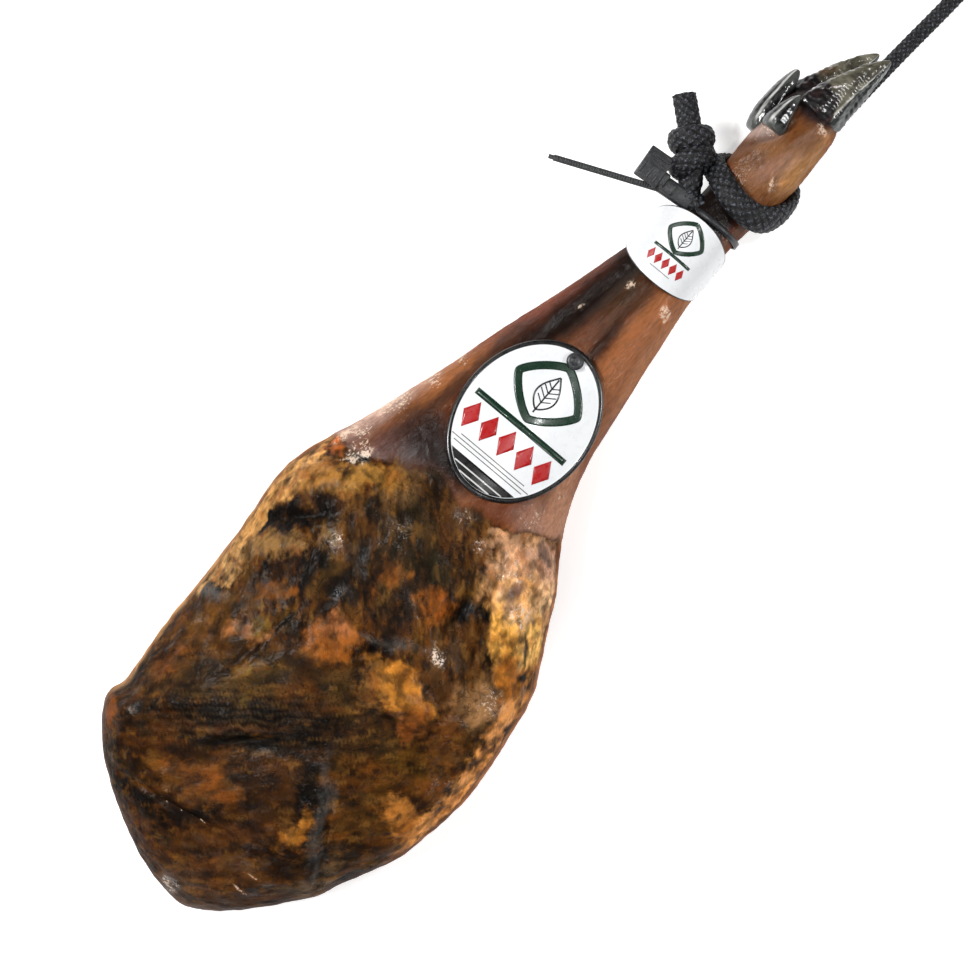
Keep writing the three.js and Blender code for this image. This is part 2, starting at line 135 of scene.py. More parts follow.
# Seal
SEAL_X = 446
FLAG = np.array([450.0, 61.0, 57.0])
TAIL_FROM = np.array([441.0, 46.0, 52.0])
TAIL_WAY = np.array([-34.0, 77.0, 5.0]) / math.sqrt(34**2 + 77**2 + 5**2)
TAIL_LENGTH = 88
TAIL_LINKS = 44
STRAP_CENTRE = (SEAL_X, -1, 38)
STRAP_HALF_WIDE = 23.6
STRAP_HALF_UP = 24.6
STRAP_HALF_DOWN = 26
STRAP_SECTION = ((-2.5, -0.5), (-2.2, 0.8), (2.2, 0.8), (2.5, -0.5))
# Lock, its lid, the flag's root and the flag: centre, size, turn in degrees and bevel
SEAL_BLOCKS = [
    ((SEAL_X, 37, 50), (14, 30, 8), 6, 2.2),
    ((SEAL_X - 1, 44, 54.4), (9, 12, 2.4), 6, 0.8),
    ((SEAL_X + 1, 52, 53.5), (12, 12, 7), 5, 2),
    (FLAG, (26, 20, 2.4), 5, 1),
]

# Paper band and oval label
BAND_CENTRE = np.array([411.0, 7.0, 42.5])
BAND_HALF_WIDE = 33
BAND_HALF_HIGH = 32.5
# The band's section, once round: share of its half width and height over the skin
BAND_SECTION = [
    (-1, 0), (-1, 0.45), (-0.97, 0.45), (-0.9, 0.45), (-0.6, 0.45), (-0.3, 0.45), (0, 0.45), (0.3, 0.45),
    (0.6, 0.45), (0.9, 0.45), (0.97, 0.45), (1, 0.45), (1, 0), (0.5, -0.4), (0, -0.4), (-0.5, -0.4),
]
BAND_EDGE_ROWS = (0, 1, 10, 11)
OVAL_CENTRE = np.array([242.0, 12.5])
OVAL_HALF_LONG = 66
OVAL_HALF_WIDE = 51.5
OVAL_SLOPE = -0.13
OVAL_BEND = 150
OVAL_THICKNESS = 1.8
OVAL_DOME = 0.9
OVAL_COLUMNS = 120
# The plate's section: share of its half size and height, from the middle over the rim and back below
OVAL_PROFILE = [
    (0.02, 0), (0.2, 0), (0.4, 0), (0.6, 0), (0.8, 0), (0.9, 0),
    (0.938, 0), (0.946, 0.25), (0.958, 0.5), (0.968, 0.55), (0.976, 0.5), (0.99, 0.35),
    (1.0, -0.2), (0.99, -1.2), (0.8, -1.2), (0.4, -1.2), (0.02, -1.2),
]
OVAL_WHITE_BANDS = 6
FOOT_REACH = 0.936
FOOT_LINE_X = 193.5
# Lines across the label: X and half length
PALE_LINES = ((183, 14), (187.6, 22))
GREY_LINES = ((198.5, 32), (201.5, 36), (204.5, 30))

# Rivet: radius and height of its section, from below to the dimple on top
RIVET_PROFILE = [
    (0.1, 0), (4, 0), (5.6, 0), (6.3, 0.3), (6.55, 0.9), (6.3, 1.6),
    (5.4, 2.3), (4.2, 2.75), (3.4, 2.7), (2.8, 2.2), (1.6, 2.0), (0.1, 1.95),
]

# Detail of the ham's skin
FIBRE_TURNS = (-48, 42)
HAM_VOXEL = 0.0021
SMOOTHING_PASSES = 26
HAM_LEVEL = 0.77
FOLD_HEIGHT = 1.35


# Numbers and noise

def smoothstep(low, high, value):
    """0 before low, 1 past high, and a soft step between them."""
    t = np.clip((value - low) / (high - low), 0, 1)
    return t * t * (3 - 2 * t)


def mix(a, b, amount):
    """One colour, or one for each point, blended towards another."""
    amount = np.asarray(amount)[..., None]
    return a * (1 - amount) + b * amount


def srgb(red, green, blue):
    """A display colour, 0 to 255, as linear light."""
    c = np.array([red, green, blue]) / 255
    return np.where(c <= 0.04045, c / 12.92, ((c + 0.055) / 1.055) ** 2.4)


def hashed(cell, seed):
    """A mixed whole number for each cell of a grid."""
    h = cell[:, 0] * 73856093 ^ cell[:, 1] * 19349663 ^ cell[:, 2] * 83492791 ^ (seed + 1) * 2654435761
    h = (h ^ (h >> 15)) * 2246822519 & 0xFFFFFFFF
    h = (h ^ (h >> 13)) * 3266489917 & 0xFFFFFFFF
    return h ^ (h >> 16)


def gradient_noise(points, seed=0):
    """Smooth noise from about -1 to 1 at each point, one bump or dip for each unit of length."""
    cell = np.floor(points).astype(np.int64)
    part = points - cell
    fade = part**3 * (part * (part * 6 - 15) + 10)
    total = np.zeros(len(points))
    for corner in np.ndindex(2, 2, 2):
        h = hashed(cell + corner, seed)
        up = (h & 1023) / 1023 * 2 - 1
        turn = (h >> 10 & 1023) / 1024 * 2 * math.pi
        out = np.sqrt(1 - up * up)
        way = np.stack([out * np.cos(turn), out * np.sin(turn), up], axis=1)
        share = np.prod(np.where(corner, fade, 1 - fade), axis=1)
        total += share * (way * (part - corner)).sum(1)
    return total * 1.6


def fractal(points, size, seed=0, octaves=3, gain=0.5):
    """Noise whose largest forms are about size long."""
    total = np.zeros(len(points))
    for k in range(octaves):
        total += gain**k * gradient_noise(points / size * 2**k, seed + 17 * k)
    return total


def ridged(points, size, seed=0, octaves=2, gain=0.5):
    """Noise of sharp ridges from 0 to 1."""
    total = np.zeros(len(points))
    for k in range(octaves):
        total += gain**k * (1 - np.abs(gradient_noise(points / size * 2**k, seed + 17 * k)) * 1.6)
    return total / (1 + gain * (octaves - 1))


def turned(points, x, y, degrees):
    """Lengths along and across a direction, seen from above, from a centre."""
    a = math.radians(degrees)
    dx = points[:, 0] - x
    dy = points[:, 1] - y
    return dx * math.cos(a) + dy * math.sin(a), dy * math.cos(a) - dx * math.sin(a)


def along_fibres(points, squeeze=0.35):
    """The points stretched along the meat's fibres, in the butt half and in the shank half."""
    both = []
    for degrees in FIBRE_TURNS:
        along, across = turned(points, 0, 0, degrees)
        both.append(np.stack([along * squeeze, across, points[:, 2]], axis=1))
    return both


def shank_share(points):
    """How far the fibres run the shank's way at each point."""
    return smoothstep(-15, 55, points[:, 0] + 0.4 * points[:, 1])


def fibrous(points, size, seed=0, octaves=3, gain=0.5):
    """Fractal noise that is drawn out along the fibres."""
    butt, shank = (fractal(p, size, seed, octaves, gain) for p in along_fibres(points))
    share = shank_share(points)
    return butt * (1 - share) + shank * share


def curve_through(places, count):
    """Evenly spaced points on a smooth curve through places, as a centripetal Catmull-Rom curve."""
    p = np.array(places, float)
    p = np.vstack([2 * p[0] - p[1], p, 2 * p[-1] - p[-2]])
    fine = []
    for i in range(1, len(p) - 2):
        a, b, c, d = p[i - 1 : i + 3]
        t0 = 0
        t1 = t0 + np.linalg.norm(b - a) ** 0.5
        t2 = t1 + np.linalg.norm(c - b) ** 0.5
        t3 = t2 + np.linalg.norm(d - c) ** 0.5
        t = np.linspace(t1, t2, 24, endpoint=False)[:, None]
        ab = (t1 - t) / (t1 - t0) * a + (t - t0) / (t1 - t0) * b
        bc = (t2 - t) / (t2 - t1) * b + (t - t1) / (t2 - t1) * c
        cd = (t3 - t) / (t3 - t2) * c + (t - t2) / (t3 - t2) * d
        abc = (t2 - t) / (t2 - t0) * ab + (t - t0) / (t2 - t0) * bc
        bcd = (t3 - t) / (t3 - t1) * bc + (t - t1) / (t3 - t1) * cd
        fine.append((t2 - t) / (t2 - t1) * abc + (t - t1) / (t2 - t1) * bcd)
    fine = np.vstack([*fine, p[-2]])
    along = np.concatenate([[0], np.cumsum(np.linalg.norm(np.diff(fine, axis=0), axis=1))])
    at = np.linspace(0, along[-1], count)
    return np.stack([np.interp(at, along, fine[:, k]) for k in range(3)], axis=1)


# Colours of the ham, as they look in daylight

OCHRE = srgb(160, 104, 44)
TAN = srgb(152, 112, 62)
RUST = srgb(150, 80, 24)
ROAST = srgb(118, 70, 22)
BROWN = srgb(84, 52, 20)
UMBER = srgb(62, 40, 20)
MAROON = srgb(74, 42, 26)
OLIVE = srgb(80, 62, 32)
SOOT = srgb(16, 11, 8)
INK = srgb(20, 20, 20)
SLATE = srgb(82, 76, 72)
MAUVE = srgb(96, 76, 74)
COLD_GREY = srgb(84, 90, 110)
PINK = srgb(176, 108, 62)
RIM = srgb(214, 156, 92)
SKIN = srgb(112, 58, 30)
SKIN_LIGHT = srgb(166, 102, 60)
SKIN_DARK = srgb(26, 14, 9)
PASTERN = srgb(138, 92, 56)
CORONET = srgb(40, 30, 30)


# Meshes

def linked(name, data):
    """A new object in the scene."""
    obj = bpy.data.objects.new(name, data)
    bpy.context.scene.collection.objects.link(obj)
    return obj


def mesh_object(name, points, faces, materials, smooth=True):
    """An object from points in millimetres."""
    mesh = bpy.data.meshes.new(name)
    mesh.from_pydata((np.asarray(points) * MM).tolist(), [], [tuple(int(i) for i in f) for f in faces])
    for material in materials:
        mesh.materials.append(material)
    mesh.polygons.foreach_set("use_smooth", [smooth] * len(mesh.polygons))
    mesh.update()
    return linked(name, mesh)


def grid_faces(rows, columns, wrap_rows=False, wrap_columns=False):
    """Faces of a grid whose point (i, j) is number i * columns + j."""
    i, j = np.meshgrid(
        np.arange(rows if wrap_rows else rows - 1),
        np.arange(columns if wrap_columns else columns - 1),
        indexing="ij",
    )
    i, j = i.ravel(), j.ravel()
    i2, j2 = (i + 1) % rows, (j + 1) % columns
    return np.stack([i * columns + j, i * columns + j2, i2 * columns + j2, i2 * columns + j], axis=1)


def joined(name, objects):
    """One object from several, with their materials kept."""
    bpy.ops.object.select_all(action="DESELECT")
    for obj in objects:
        obj.select_set(True)
    bpy.context.view_layer.objects.active = objects[0]
    bpy.ops.object.join()
    objects[0].name = name
    objects[0].data.name = name
    return objects[0]


def face_outwards(obj):
    """The object, with every face turned outwards."""
    work = bmesh.new()
    work.from_mesh(obj.data)
    bmesh.ops.recalc_face_normals(work, faces=work.faces)
    work.to_mesh(obj.data)
    work.free()
    return obj


def ring_tube(name, rings, materials, closed=False):
    """A tube through rings of points, each ring an array of the same length."""
    rings = np.asarray(rings)
    rows, columns = rings.shape[:2]
    points = rings.reshape(-1, 3)
    faces = [tuple(f) for f in grid_faces(rows, columns, closed, True)]
    if not closed:
        faces.append(tuple(range(columns)))
        faces.append(tuple(range((rows - 1) * columns, rows * columns)))
    return face_outwards(mesh_object(name, points, faces, materials))


def add_colours(obj, name, colours):
    """A colour for each point, under a name that a material can read."""
    layer = obj.data.color_attributes.new(name, "FLOAT_COLOR", "POINT")
    data = np.ones((len(obj.data.vertices), 4), np.float32)
    data[:, :3] = colours
    layer.data.foreach_set("color", data.ravel())


def add_values(obj, name, values):
    """A number for each point, under a name that a material can read."""
    layer = obj.data.attributes.new(name, "FLOAT", "POINT")
    layer.data.foreach_set("value", np.asarray(values, np.float32))


# Materials

class Finish:
    """A node material that is built up call by call."""

    def __init__(self, name, roughness=0.5, **inputs):
        self.material = bpy.data.materials.new(name)
        self.material.use_nodes = True
        self.tree = self.material.node_tree
        self.shader = self.tree.nodes["Principled BSDF"]
        self.shader.inputs["Roughness"].default_value = roughness
        for key, value in inputs.items():
            self.shader.inputs[key.replace("_", " ")].default_value = value
        self.place = self.node("ShaderNodeTexCoord").outputs["Object"]
        self.bumps = None

    def node(self, kind, **settings):
        made = self.tree.nodes.new(kind)
        for key, value in settings.items():
            if key in made.inputs:
                self.put(made.inputs[key], value)
            else:
                setattr(made, key, value)
        return made

    def put(self, socket, value):
        """Links another socket to this one, or sets its value."""
        if isinstance(value, bpy.types.NodeSocket):
            self.tree.links.new(value, socket)
        else:
            socket.default_value = value

    def noise(self, size_mm, detail=4, rough=0.6, distort=0.0, at=None):
        made = self.node("ShaderNodeTexNoise", Scale=1 / (size_mm * MM), Detail=detail, Roughness=rough)
        made.inputs["Distortion"].default_value = distort
        self.put(made.inputs["Vector"], at or self.place)
        return made.outputs["Fac"]

    def stretched(self, factor, turn=0.0):
        """The place, drawn out by a factor along a bearing, for grain that runs one way."""
        made = self.node("ShaderNodeMapping", vector_type="TEXTURE")
        made.inputs["Rotation"].default_value[2] = math.radians(turn)
        made.inputs["Scale"].default_value = (factor, 1, 1)
        self.put(made.inputs["Vector"], self.place)
        return made.outputs["Vector"]

    def between(self, value, low, high, out_low=0.0, out_high=1.0):
        """A soft step from one number to another, while the value goes from low to high."""
        made = self.node("ShaderNodeMapRange", interpolation_type="SMOOTHSTEP")
        self.put(made.inputs["Value"], value)
        ends = {"From Min": low, "From Max": high, "To Min": out_low, "To Max": out_high}
        for key, number in ends.items():
            made.inputs[key].default_value = number
        return made.outputs["Result"]

    def math(self, operation, a, b):
        made = self.node("ShaderNodeMath", operation=operation)
        self.put(made.inputs[0], a)
        self.put(made.inputs[1], b)
        return made.outputs[0]

    def times(self, a, *others):
        """The product of numbers and sockets."""
        for other in others:
            a = self.math("MULTIPLY", a, other)
        return a

    def plus(self, a, *others):
        """The sum of numbers and sockets."""
        for other in others:
            a = self.math("ADD", a, other)
        return a

    def mixed(self, a, b, amount):
        """A number between two."""
        made = self.node("ShaderNodeMix", data_type="FLOAT", Factor=amount)
        self.put(made.inputs[2], a)
        self.put(made.inputs[3], b)
        return made.outputs[0]

    def blend(self, a, b, amount, how="MIX"):
        """A colour between two."""
        made = self.node("ShaderNodeMix", data_type="RGBA", blend_type=how, clamp_result=False)
        colours = [s for s in made.inputs if s.type == "RGBA"]
        self.put(made.inputs["Factor"], amount)
        for socket, value in zip(colours, (a, b)):
            self.put(socket, (*value, 1) if isinstance(value, (tuple, np.ndarray)) else value)
        return next(s for s in made.outputs if s.type == "RGBA")

    def scaled(self, colour, factor):
        """A colour times a number that may pass 1."""
        grey = self.node("ShaderNodeCombineColor", Red=factor, Green=factor, Blue=factor).outputs[0]
        return self.blend(colour, grey, 1.0, "MULTIPLY")

    def attribute(self, name, output="Fac"):
        return self.node("ShaderNodeAttribute", attribute_name=name).outputs[output]

    def colour(self, value):
        self.put(self.shader.inputs["Base Color"], value)

    def roughness(self, value):
        self.put(self.shader.inputs["Roughness"], value)

    def bump(self, height, distance_mm, strength=1.0):
        """Adds a relief to those before it."""
        made = self.node("ShaderNodeBump", Distance=distance_mm * MM, Strength=strength)
        self.put(made.inputs["Height"], height)
        if self.bumps is not None:
            self.put(made.inputs["Normal"], self.bumps)
        self.bumps = made.outputs["Normal"]
        self.put(self.shader.inputs["Normal"], self.bumps)
        self.put(self.shader.inputs["Coat Normal"], self.bumps)


def ham_finish():
    """Oily skin, fat and flesh. The mesh holds their broad colours, and the fine ones come here."""
    f = Finish("cured_ham", roughness=0.6, Specular_IOR_Level=0.05)
    fat, wet, skin, flow, glint = (f.attribute(name) for name in ("fat", "wet", "skin", "flow", "glint"))
    flesh_share = f.math("SUBTRACT", 1.0, skin)

    def fibrous_noise(size, rough, factor):
        butt, shank = (f.noise(size, 4, rough, 0.3, f.stretched(factor, turn)) for turn in FIBRE_TURNS)
        return f.mixed(butt, shank, flow)

    cloud = fibrous_noise(10, 0.56, 1.6)
    fine = fibrous_noise(3.0, 0.58, 1.7)
    grain = f.noise(1.5, detail=3, rough=0.6)
    fibre = f.noise(2.0, detail=4, rough=0.6, at=f.stretched(4, -6))
    crumb = f.noise(2.5, detail=3, rough=0.7, distort=0.2)
    line = f.noise(15, detail=3, rough=0.5, distort=1.4)
    crack = f.between(f.math("ABSOLUTE", f.math("SUBTRACT", line, 0.5), 0.0), 0.0, 0.017, 1.0, 0.0)

    # Fat over flesh, with ragged edges
    ragged = f.plus(f.between(cloud, 0.25, 0.75, -0.24, 0.24), f.between(fine, 0.25, 0.75, -0.12, 0.12))
    share = f.math("SUBTRACT", f.plus(fat, ragged), f.times(skin, 2.0))
    flesh_tone, fat_tone = (f.attribute(name, "Color") for name in ("flesh_tone", "fat_tone"))
    colour = f.blend(flesh_tone, fat_tone, f.between(share, 0.0, 1.1))

    # Darker and lighter fibres
    deep = f.times(f.between(fine, 0.5, 0.3), f.mixed(0.5, 0.18, f.between(share, 0.2, 1.0)))
    deep = f.times(deep, flesh_share, f.mixed(0.55, 1.0, flow))
    colour = f.blend(colour, (0.42, 0.3, 0.18), deep, "MULTIPLY")
    mottle = f.times(f.between(fine, 0.5, 0.72, 1.0, 1.22), f.between(grain, 0.3, 0.7, 0.92, 1.08))
    mottle = f.times(mottle, f.between(cloud, 0.34, 0.64, 0.7, 1.3))
    colour = f.scaled(colour, f.mixed(mottle, f.between(fibre, 0.3, 0.7, 0.78, 1.2), skin))
    crack_share = f.times(flesh_share, f.between(share, 0.2, 1.0, 0.6, 0.25))
    colour = f.blend(colour, SOOT, f.times(crack, crack_share))

    # Painted sheen on the wet ridges, which lightens the colour there, and pale flecks that are partly
    # crumbs of salt and fat and partly painted glints
    lift = f.plus(f.times(wet, 0.1), f.times(glint, 0.2), f.between(cloud, 0.3, 0.7, -0.06, 0.08))
    crumbs_and_painted_glints = f.between(f.plus(crumb, lift), 0.63, 0.78)
    crumbs_and_painted_glints = f.times(crumbs_and_painted_glints, f.between(f.math("MAXIMUM", wet, glint), 0.4, 0.8))
    painted_sheen = f.times(glint, f.between(cloud, 0.36, 0.6, 0.2, 0.8))
    colour = f.blend(colour, (2.4, 2.2, 2.0), painted_sheen, "MULTIPLY")
    f.colour(f.blend(colour, srgb(226, 202, 178), f.times(crumbs_and_painted_glints, 0.85)))

    coat = f.mixed(f.between(wet, 0.25, 0.8, 0.07, 1.0), 0.32, skin)
    f.put(f.shader.inputs["Coat Weight"], f.times(coat, f.attribute("shine")))
    f.put(f.shader.inputs["Coat Roughness"], f.between(cloud, 0.3, 0.7, 0.1, 0.04))
    strength = f.mixed(f.between(wet, 0.1, 0.9, 0.5, 1.0), 0.35, skin)
    f.bump(cloud, 1.8, f.times(flesh_share, 0.7))
    f.bump(fine, 1.1, strength)
    f.bump(grain, 0.25, strength)
    f.bump(crack, -0.5, crack_share)
    f.bump(fibre, 0.9, f.times(skin, 0.8))
    return f.material


def claw_finish():
    """Grey horn with a dark glossy wall, a painted highlight along the wall's edge and dark skin where it
    grows from the foot.
    """
    f = Finish("claw_horn", Coat_Weight=0.6, Coat_Roughness=0.12, Specular_IOR_Level=0.25)
    wall = f.attribute("wall")
    wave = f.noise(7.0, detail=4, rough=0.5, distort=0.4, at=f.stretched(3, -38))
    streak = f.noise(2.2, detail=4, rough=0.6, at=f.stretched(7, -8))
    crumb = f.noise(3.0, detail=5, rough=0.75, distort=0.6)
    pale = f.blend(srgb(58, 54, 44), srgb(116, 112, 96), f.between(wave, 0.34, 0.7))
    worn = f.times(f.attribute("worn"), f.between(wave, 0.3, 0.6, 1.0, 0.5))
    pale = f.blend(pale, srgb(82, 60, 38), worn)
    dark = f.blend(srgb(20, 22, 21), srgb(70, 75, 72), f.between(streak, 0.4, 0.68))
    colour = f.blend(pale, dark, f.between(wall, 0.45, 0.6))
    # Painted highlight along the edge of the wall
    rim = f.times(f.between(wall, 0.32, 0.44), f.between(wall, 0.48, 0.56, 1.0, 0.0))
    colour = f.blend(colour, srgb(206, 204, 196), f.times(rim, f.between(wave, 0.35, 0.6, 0.2, 0.9)))
    hide = f.blend(srgb(14, 10, 11), srgb(58, 40, 40), f.between(wave, 0.45, 0.75))
    ragged = f.plus(f.attribute("skin"), f.between(wave, 0.3, 0.7, -0.3, 0.3))
    colour = f.blend(colour, hide, f.between(ragged, 0.35, 0.65))
    # Painted glints: pale sparkles where the toes' glint value is high
    painted_sparkle = f.between(f.plus(crumb, f.times(f.attribute("glint"), 0.22)), 0.7, 0.8)
    f.colour(f.blend(colour, srgb(232, 222, 222), f.times(painted_sparkle, 0.85)))
    f.roughness(f.between(wave, 0.3, 0.7, 0.5, 0.3))
    f.bump(wave, 1.0, 0.5)
    f.bump(streak, 0.3, 0.4)
    return f.material


def dewclaw_finish():
    """Black glossy horn, greyer towards its ends, with a painted highlight along one edge."""
    f = Finish("dewclaw_horn", Coat_Weight=0.7, Coat_Roughness=0.08, Specular_IOR_Level=0.25)
    streak = f.noise(3.0, detail=4, rough=0.55, at=f.stretched(5, -8))
    cloud = f.noise(10, detail=3)
    tone = f.blend(srgb(11, 10, 11), srgb(60, 62, 60), f.between(streak, 0.45, 0.75))
    pale = f.times(f.attribute("pale"), f.between(cloud, 0.35, 0.65, 0.4, 1.0))
    tone = f.blend(tone, srgb(84, 88, 84), pale)
    # Painted highlight along one edge
    edge = f.times(f.attribute("edge"), f.between(streak, 0.35, 0.6, 0.3, 1.0))
    f.colour(f.blend(tone, srgb(206, 206, 202), edge))
    f.roughness(f.between(cloud, 0.3, 0.7, 0.45, 0.25))
    f.bump(streak, 0.35, 0.5)
    return f.material


def braid_finish():
    """Black polyester braid with painted blue-grey highlights on the tops of its strands."""
    f = Finish("black_braid", roughness=0.5, Specular_IOR_Level=0.35)
    thread = f.noise(0.5, detail=2)
    speck = f.noise(1.5, detail=2, rough=0.7)
    # Painted highlights: blue-grey specks where the strands stand highest
    shade = f.times(f.between(speck, 0.48, 0.66), f.between(f.attribute("strand"), 0.6, 1.0))
    f.colour(f.blend(srgb(9, 9, 10), srgb(92, 96, 108), shade))
    f.roughness(f.between(thread, 0.3, 0.7, 0.42, 0.68))
    f.bump(thread, 0.25, 0.7)
    return f.material


def plastic_finish():
    """Black moulded plastic with a worn, satin surface."""
    f = Finish("seal_black_plastic", Coat_Weight=0.1, Coat_Roughness=0.3)
    grain = f.noise(1.2, detail=3)
    f.colour(f.blend(srgb(28, 29, 31), srgb(70, 72, 75), f.between(grain, 0.45, 0.75)))
    f.roughness(f.between(f.noise(6), 0.3, 0.7, 0.34, 0.55))
    f.bump(grain, 0.08, 0.5)
    return f.material


def paper_finish(name, colour, roughness=0.3):
    """Coated paper or card, with a faint unevenness."""
    f = Finish(name, roughness=roughness, Coat_Weight=0.25, Coat_Roughness=0.1)
    cloud = f.noise(14, detail=3)
    f.colour(f.blend(colour * 0.97, colour, f.between(cloud, 0.35, 0.6)))
    f.roughness(f.between(f.noise(5), 0.3, 0.7, roughness - 0.06, roughness + 0.06))
    f.bump(f.noise(2.5, detail=2), 0.05, 0.4)
    return f.material


def floor_finish():
    """A pale floor that is lit a little from within, so that no shadow turns black."""
    f = Finish("pale_floor", roughness=0.85, Specular_IOR_Level=0.2)
    f.colour(f.blend(srgb(244, 244, 244), srgb(248, 248, 248), f.noise(200)))
    f.put(f.shader.inputs["Emission Color"], (1, 1, 1, 1))
    f.put(f.shader.inputs["Emission Strength"], FLOOR_GLOW)
    return f.material


# Patches of flesh: what it is, centre, half length, half width, turn in degrees from +X, colour,
# strength and softness of the edge.
FLESH = [
    ("warm brown round the butt", -92, -14, 62, 44, -70, BROWN, 0.8, 0.6),
    ("golden brown under the lump", -140, -30, 34, 30, 90, ROAST, 0.55, 0.6),
    ("butt edge", -178, 10, 60, 18, 84, MAROON, 0.7, 0.5),
    ("olive below the hip bone", -40, 62, 40, 20, -46, OLIVE, 0.8, 0.5),
    ("brown along the top left", -60, 96, 66, 14, -8, srgb(82, 56, 30), 0.8, 0.6),
    ("striated muscle", -53, 32, 74, 13, -50, SOOT, 0.85, 0.5),
    ("red fibres of the muscle", -56, 20, 66, 3.5, -50, srgb(96, 56, 28), 0.6, 0.6),
    # Painted shade in the pit by the bone
    ("bone pit", -70, 18, 27, 8, -46, INK, 1.0, 0.45),
    ("shade past the pit", -30, -18, 30, 13, -40, SOOT, 0.7, 0.6),
    ("shade by the seam", -66, -46, 34, 13, 34, SOOT, 0.85, 0.6),
    ("grey seam", -80, -62, 42, 6, 30, srgb(54, 44, 38), 0.8, 0.6),
    ("dark spot in the streak", -129, 14, 9, 5, -44, INK, 0.95, 0.4),
    ("grey at the low butt", -158, 24, 16, 6, 70, SLATE, 0.5, 0.5),
    ("dark at the low butt", -150, 42, 22, 8, 80, SOOT, 0.6, 0.6),
    # Painted highlight on the glossy low butt
    ("glossy low butt", -188, -22, 24, 16, 84, srgb(134, 100, 82), 0.8, 0.8),
    ("grey glaze at the low butt", -126, -92, 34, 9, 14, srgb(132, 110, 96), 0.8, 0.7),
    ("shade past the gold lump", -100, -76, 22, 8, 20, SOOT, 0.6, 0.6),
    # Painted shade in the fold above the roll
    ("fold above the roll", 38, -8, 22, 5, -30, SOOT, 1.0, 0.4),
    ("grey arc over the roll", 52, -14, 18, 3, -62, SLATE, 0.7, 0.5),
    ("speckled brown left of the roll", -2, -38, 28, 20, 70, srgb(66, 50, 32), 0.8, 0.5),
    # Painted shade in the groove under the pink fat
    ("line under the pink fat", -2, 56, 32, 2.6, -8, SOOT, 0.9, 0.5),
    ("slate patch", -4, 108, 11, 5, -56, srgb(92, 92, 98), 1.0, 0.4),
    ("grey slope under it", 6, 92, 20, 6, -60, srgb(90, 66, 44), 0.7, 0.5),
    ("crumbs below", -24, 100, 24, 10, -10, srgb(96, 66, 28), 0.7, 0.6),
    # Painted shade in the folds and hollows of the middle
    ("dark fold beside the slope", 76, 100, 28, 7, -46, SOOT, 0.95, 0.4),
    ("fold, lower part", 52, 66, 30, 9, -4, SOOT, 0.9, 0.5),
    ("dark flesh above the middle", 62, 38, 34, 9, 4, SOOT, 0.9, 0.5),
    ("olive flesh", 64, 54, 20, 7, 0, OLIVE, 0.7, 0.5),
    ("speckled dark flesh", 122, 22, 40, 34, 0, srgb(58, 48, 32), 0.75, 0.6),
    ("brown flesh by the label", 160, 4, 26, 24, 0, srgb(96, 66, 36), 0.8, 0.5),
    ("mauve flesh under the orange", 78, -46, 30, 12, 40, srgb(84, 60, 42), 0.9, 0.5),
    ("olive hollow", 72, -64, 22, 10, 44, srgb(76, 52, 32), 0.9, 0.6),
    ("grey-pink flesh", 66, -96, 26, 12, -10, srgb(186, 144, 114), 0.95, 0.7),
    # Painted shade in the grooves below the orange fat and at the edge of the bulge
    ("black by the orange fat", 100, -40, 10, 8, 20, SOOT, 1.0, 0.5),
    ("black line at the bulge", 114, -46, 5, 26, 8, SOOT, 1.0, 0.4),
    ("grey-brown flesh by the skin", 150, 52, 16, 12, -20, srgb(152, 120, 94), 0.8, 0.8),
    ("green-grey flesh", 112, -8, 14, 14, 0, srgb(60, 56, 38), 0.7, 0.5),
    ("rust below the roll", 22, -86, 22, 14, -10, srgb(112, 68, 30), 0.85, 0.5),
    ("olive low face", -6, -86, 22, 12, -8, srgb(88, 62, 22), 0.9, 0.5),
    ("brown at the low left", -66, -86, 26, 18, 30, srgb(84, 58, 30), 0.7, 0.6),
    ("dark above the low rim", -20, -112, 26, 6, 8, SOOT, 0.6, 0.6),
    ("mauve at the low right", 80, -119, 14, 5, 14, MAUVE, 0.9, 0.5),
]
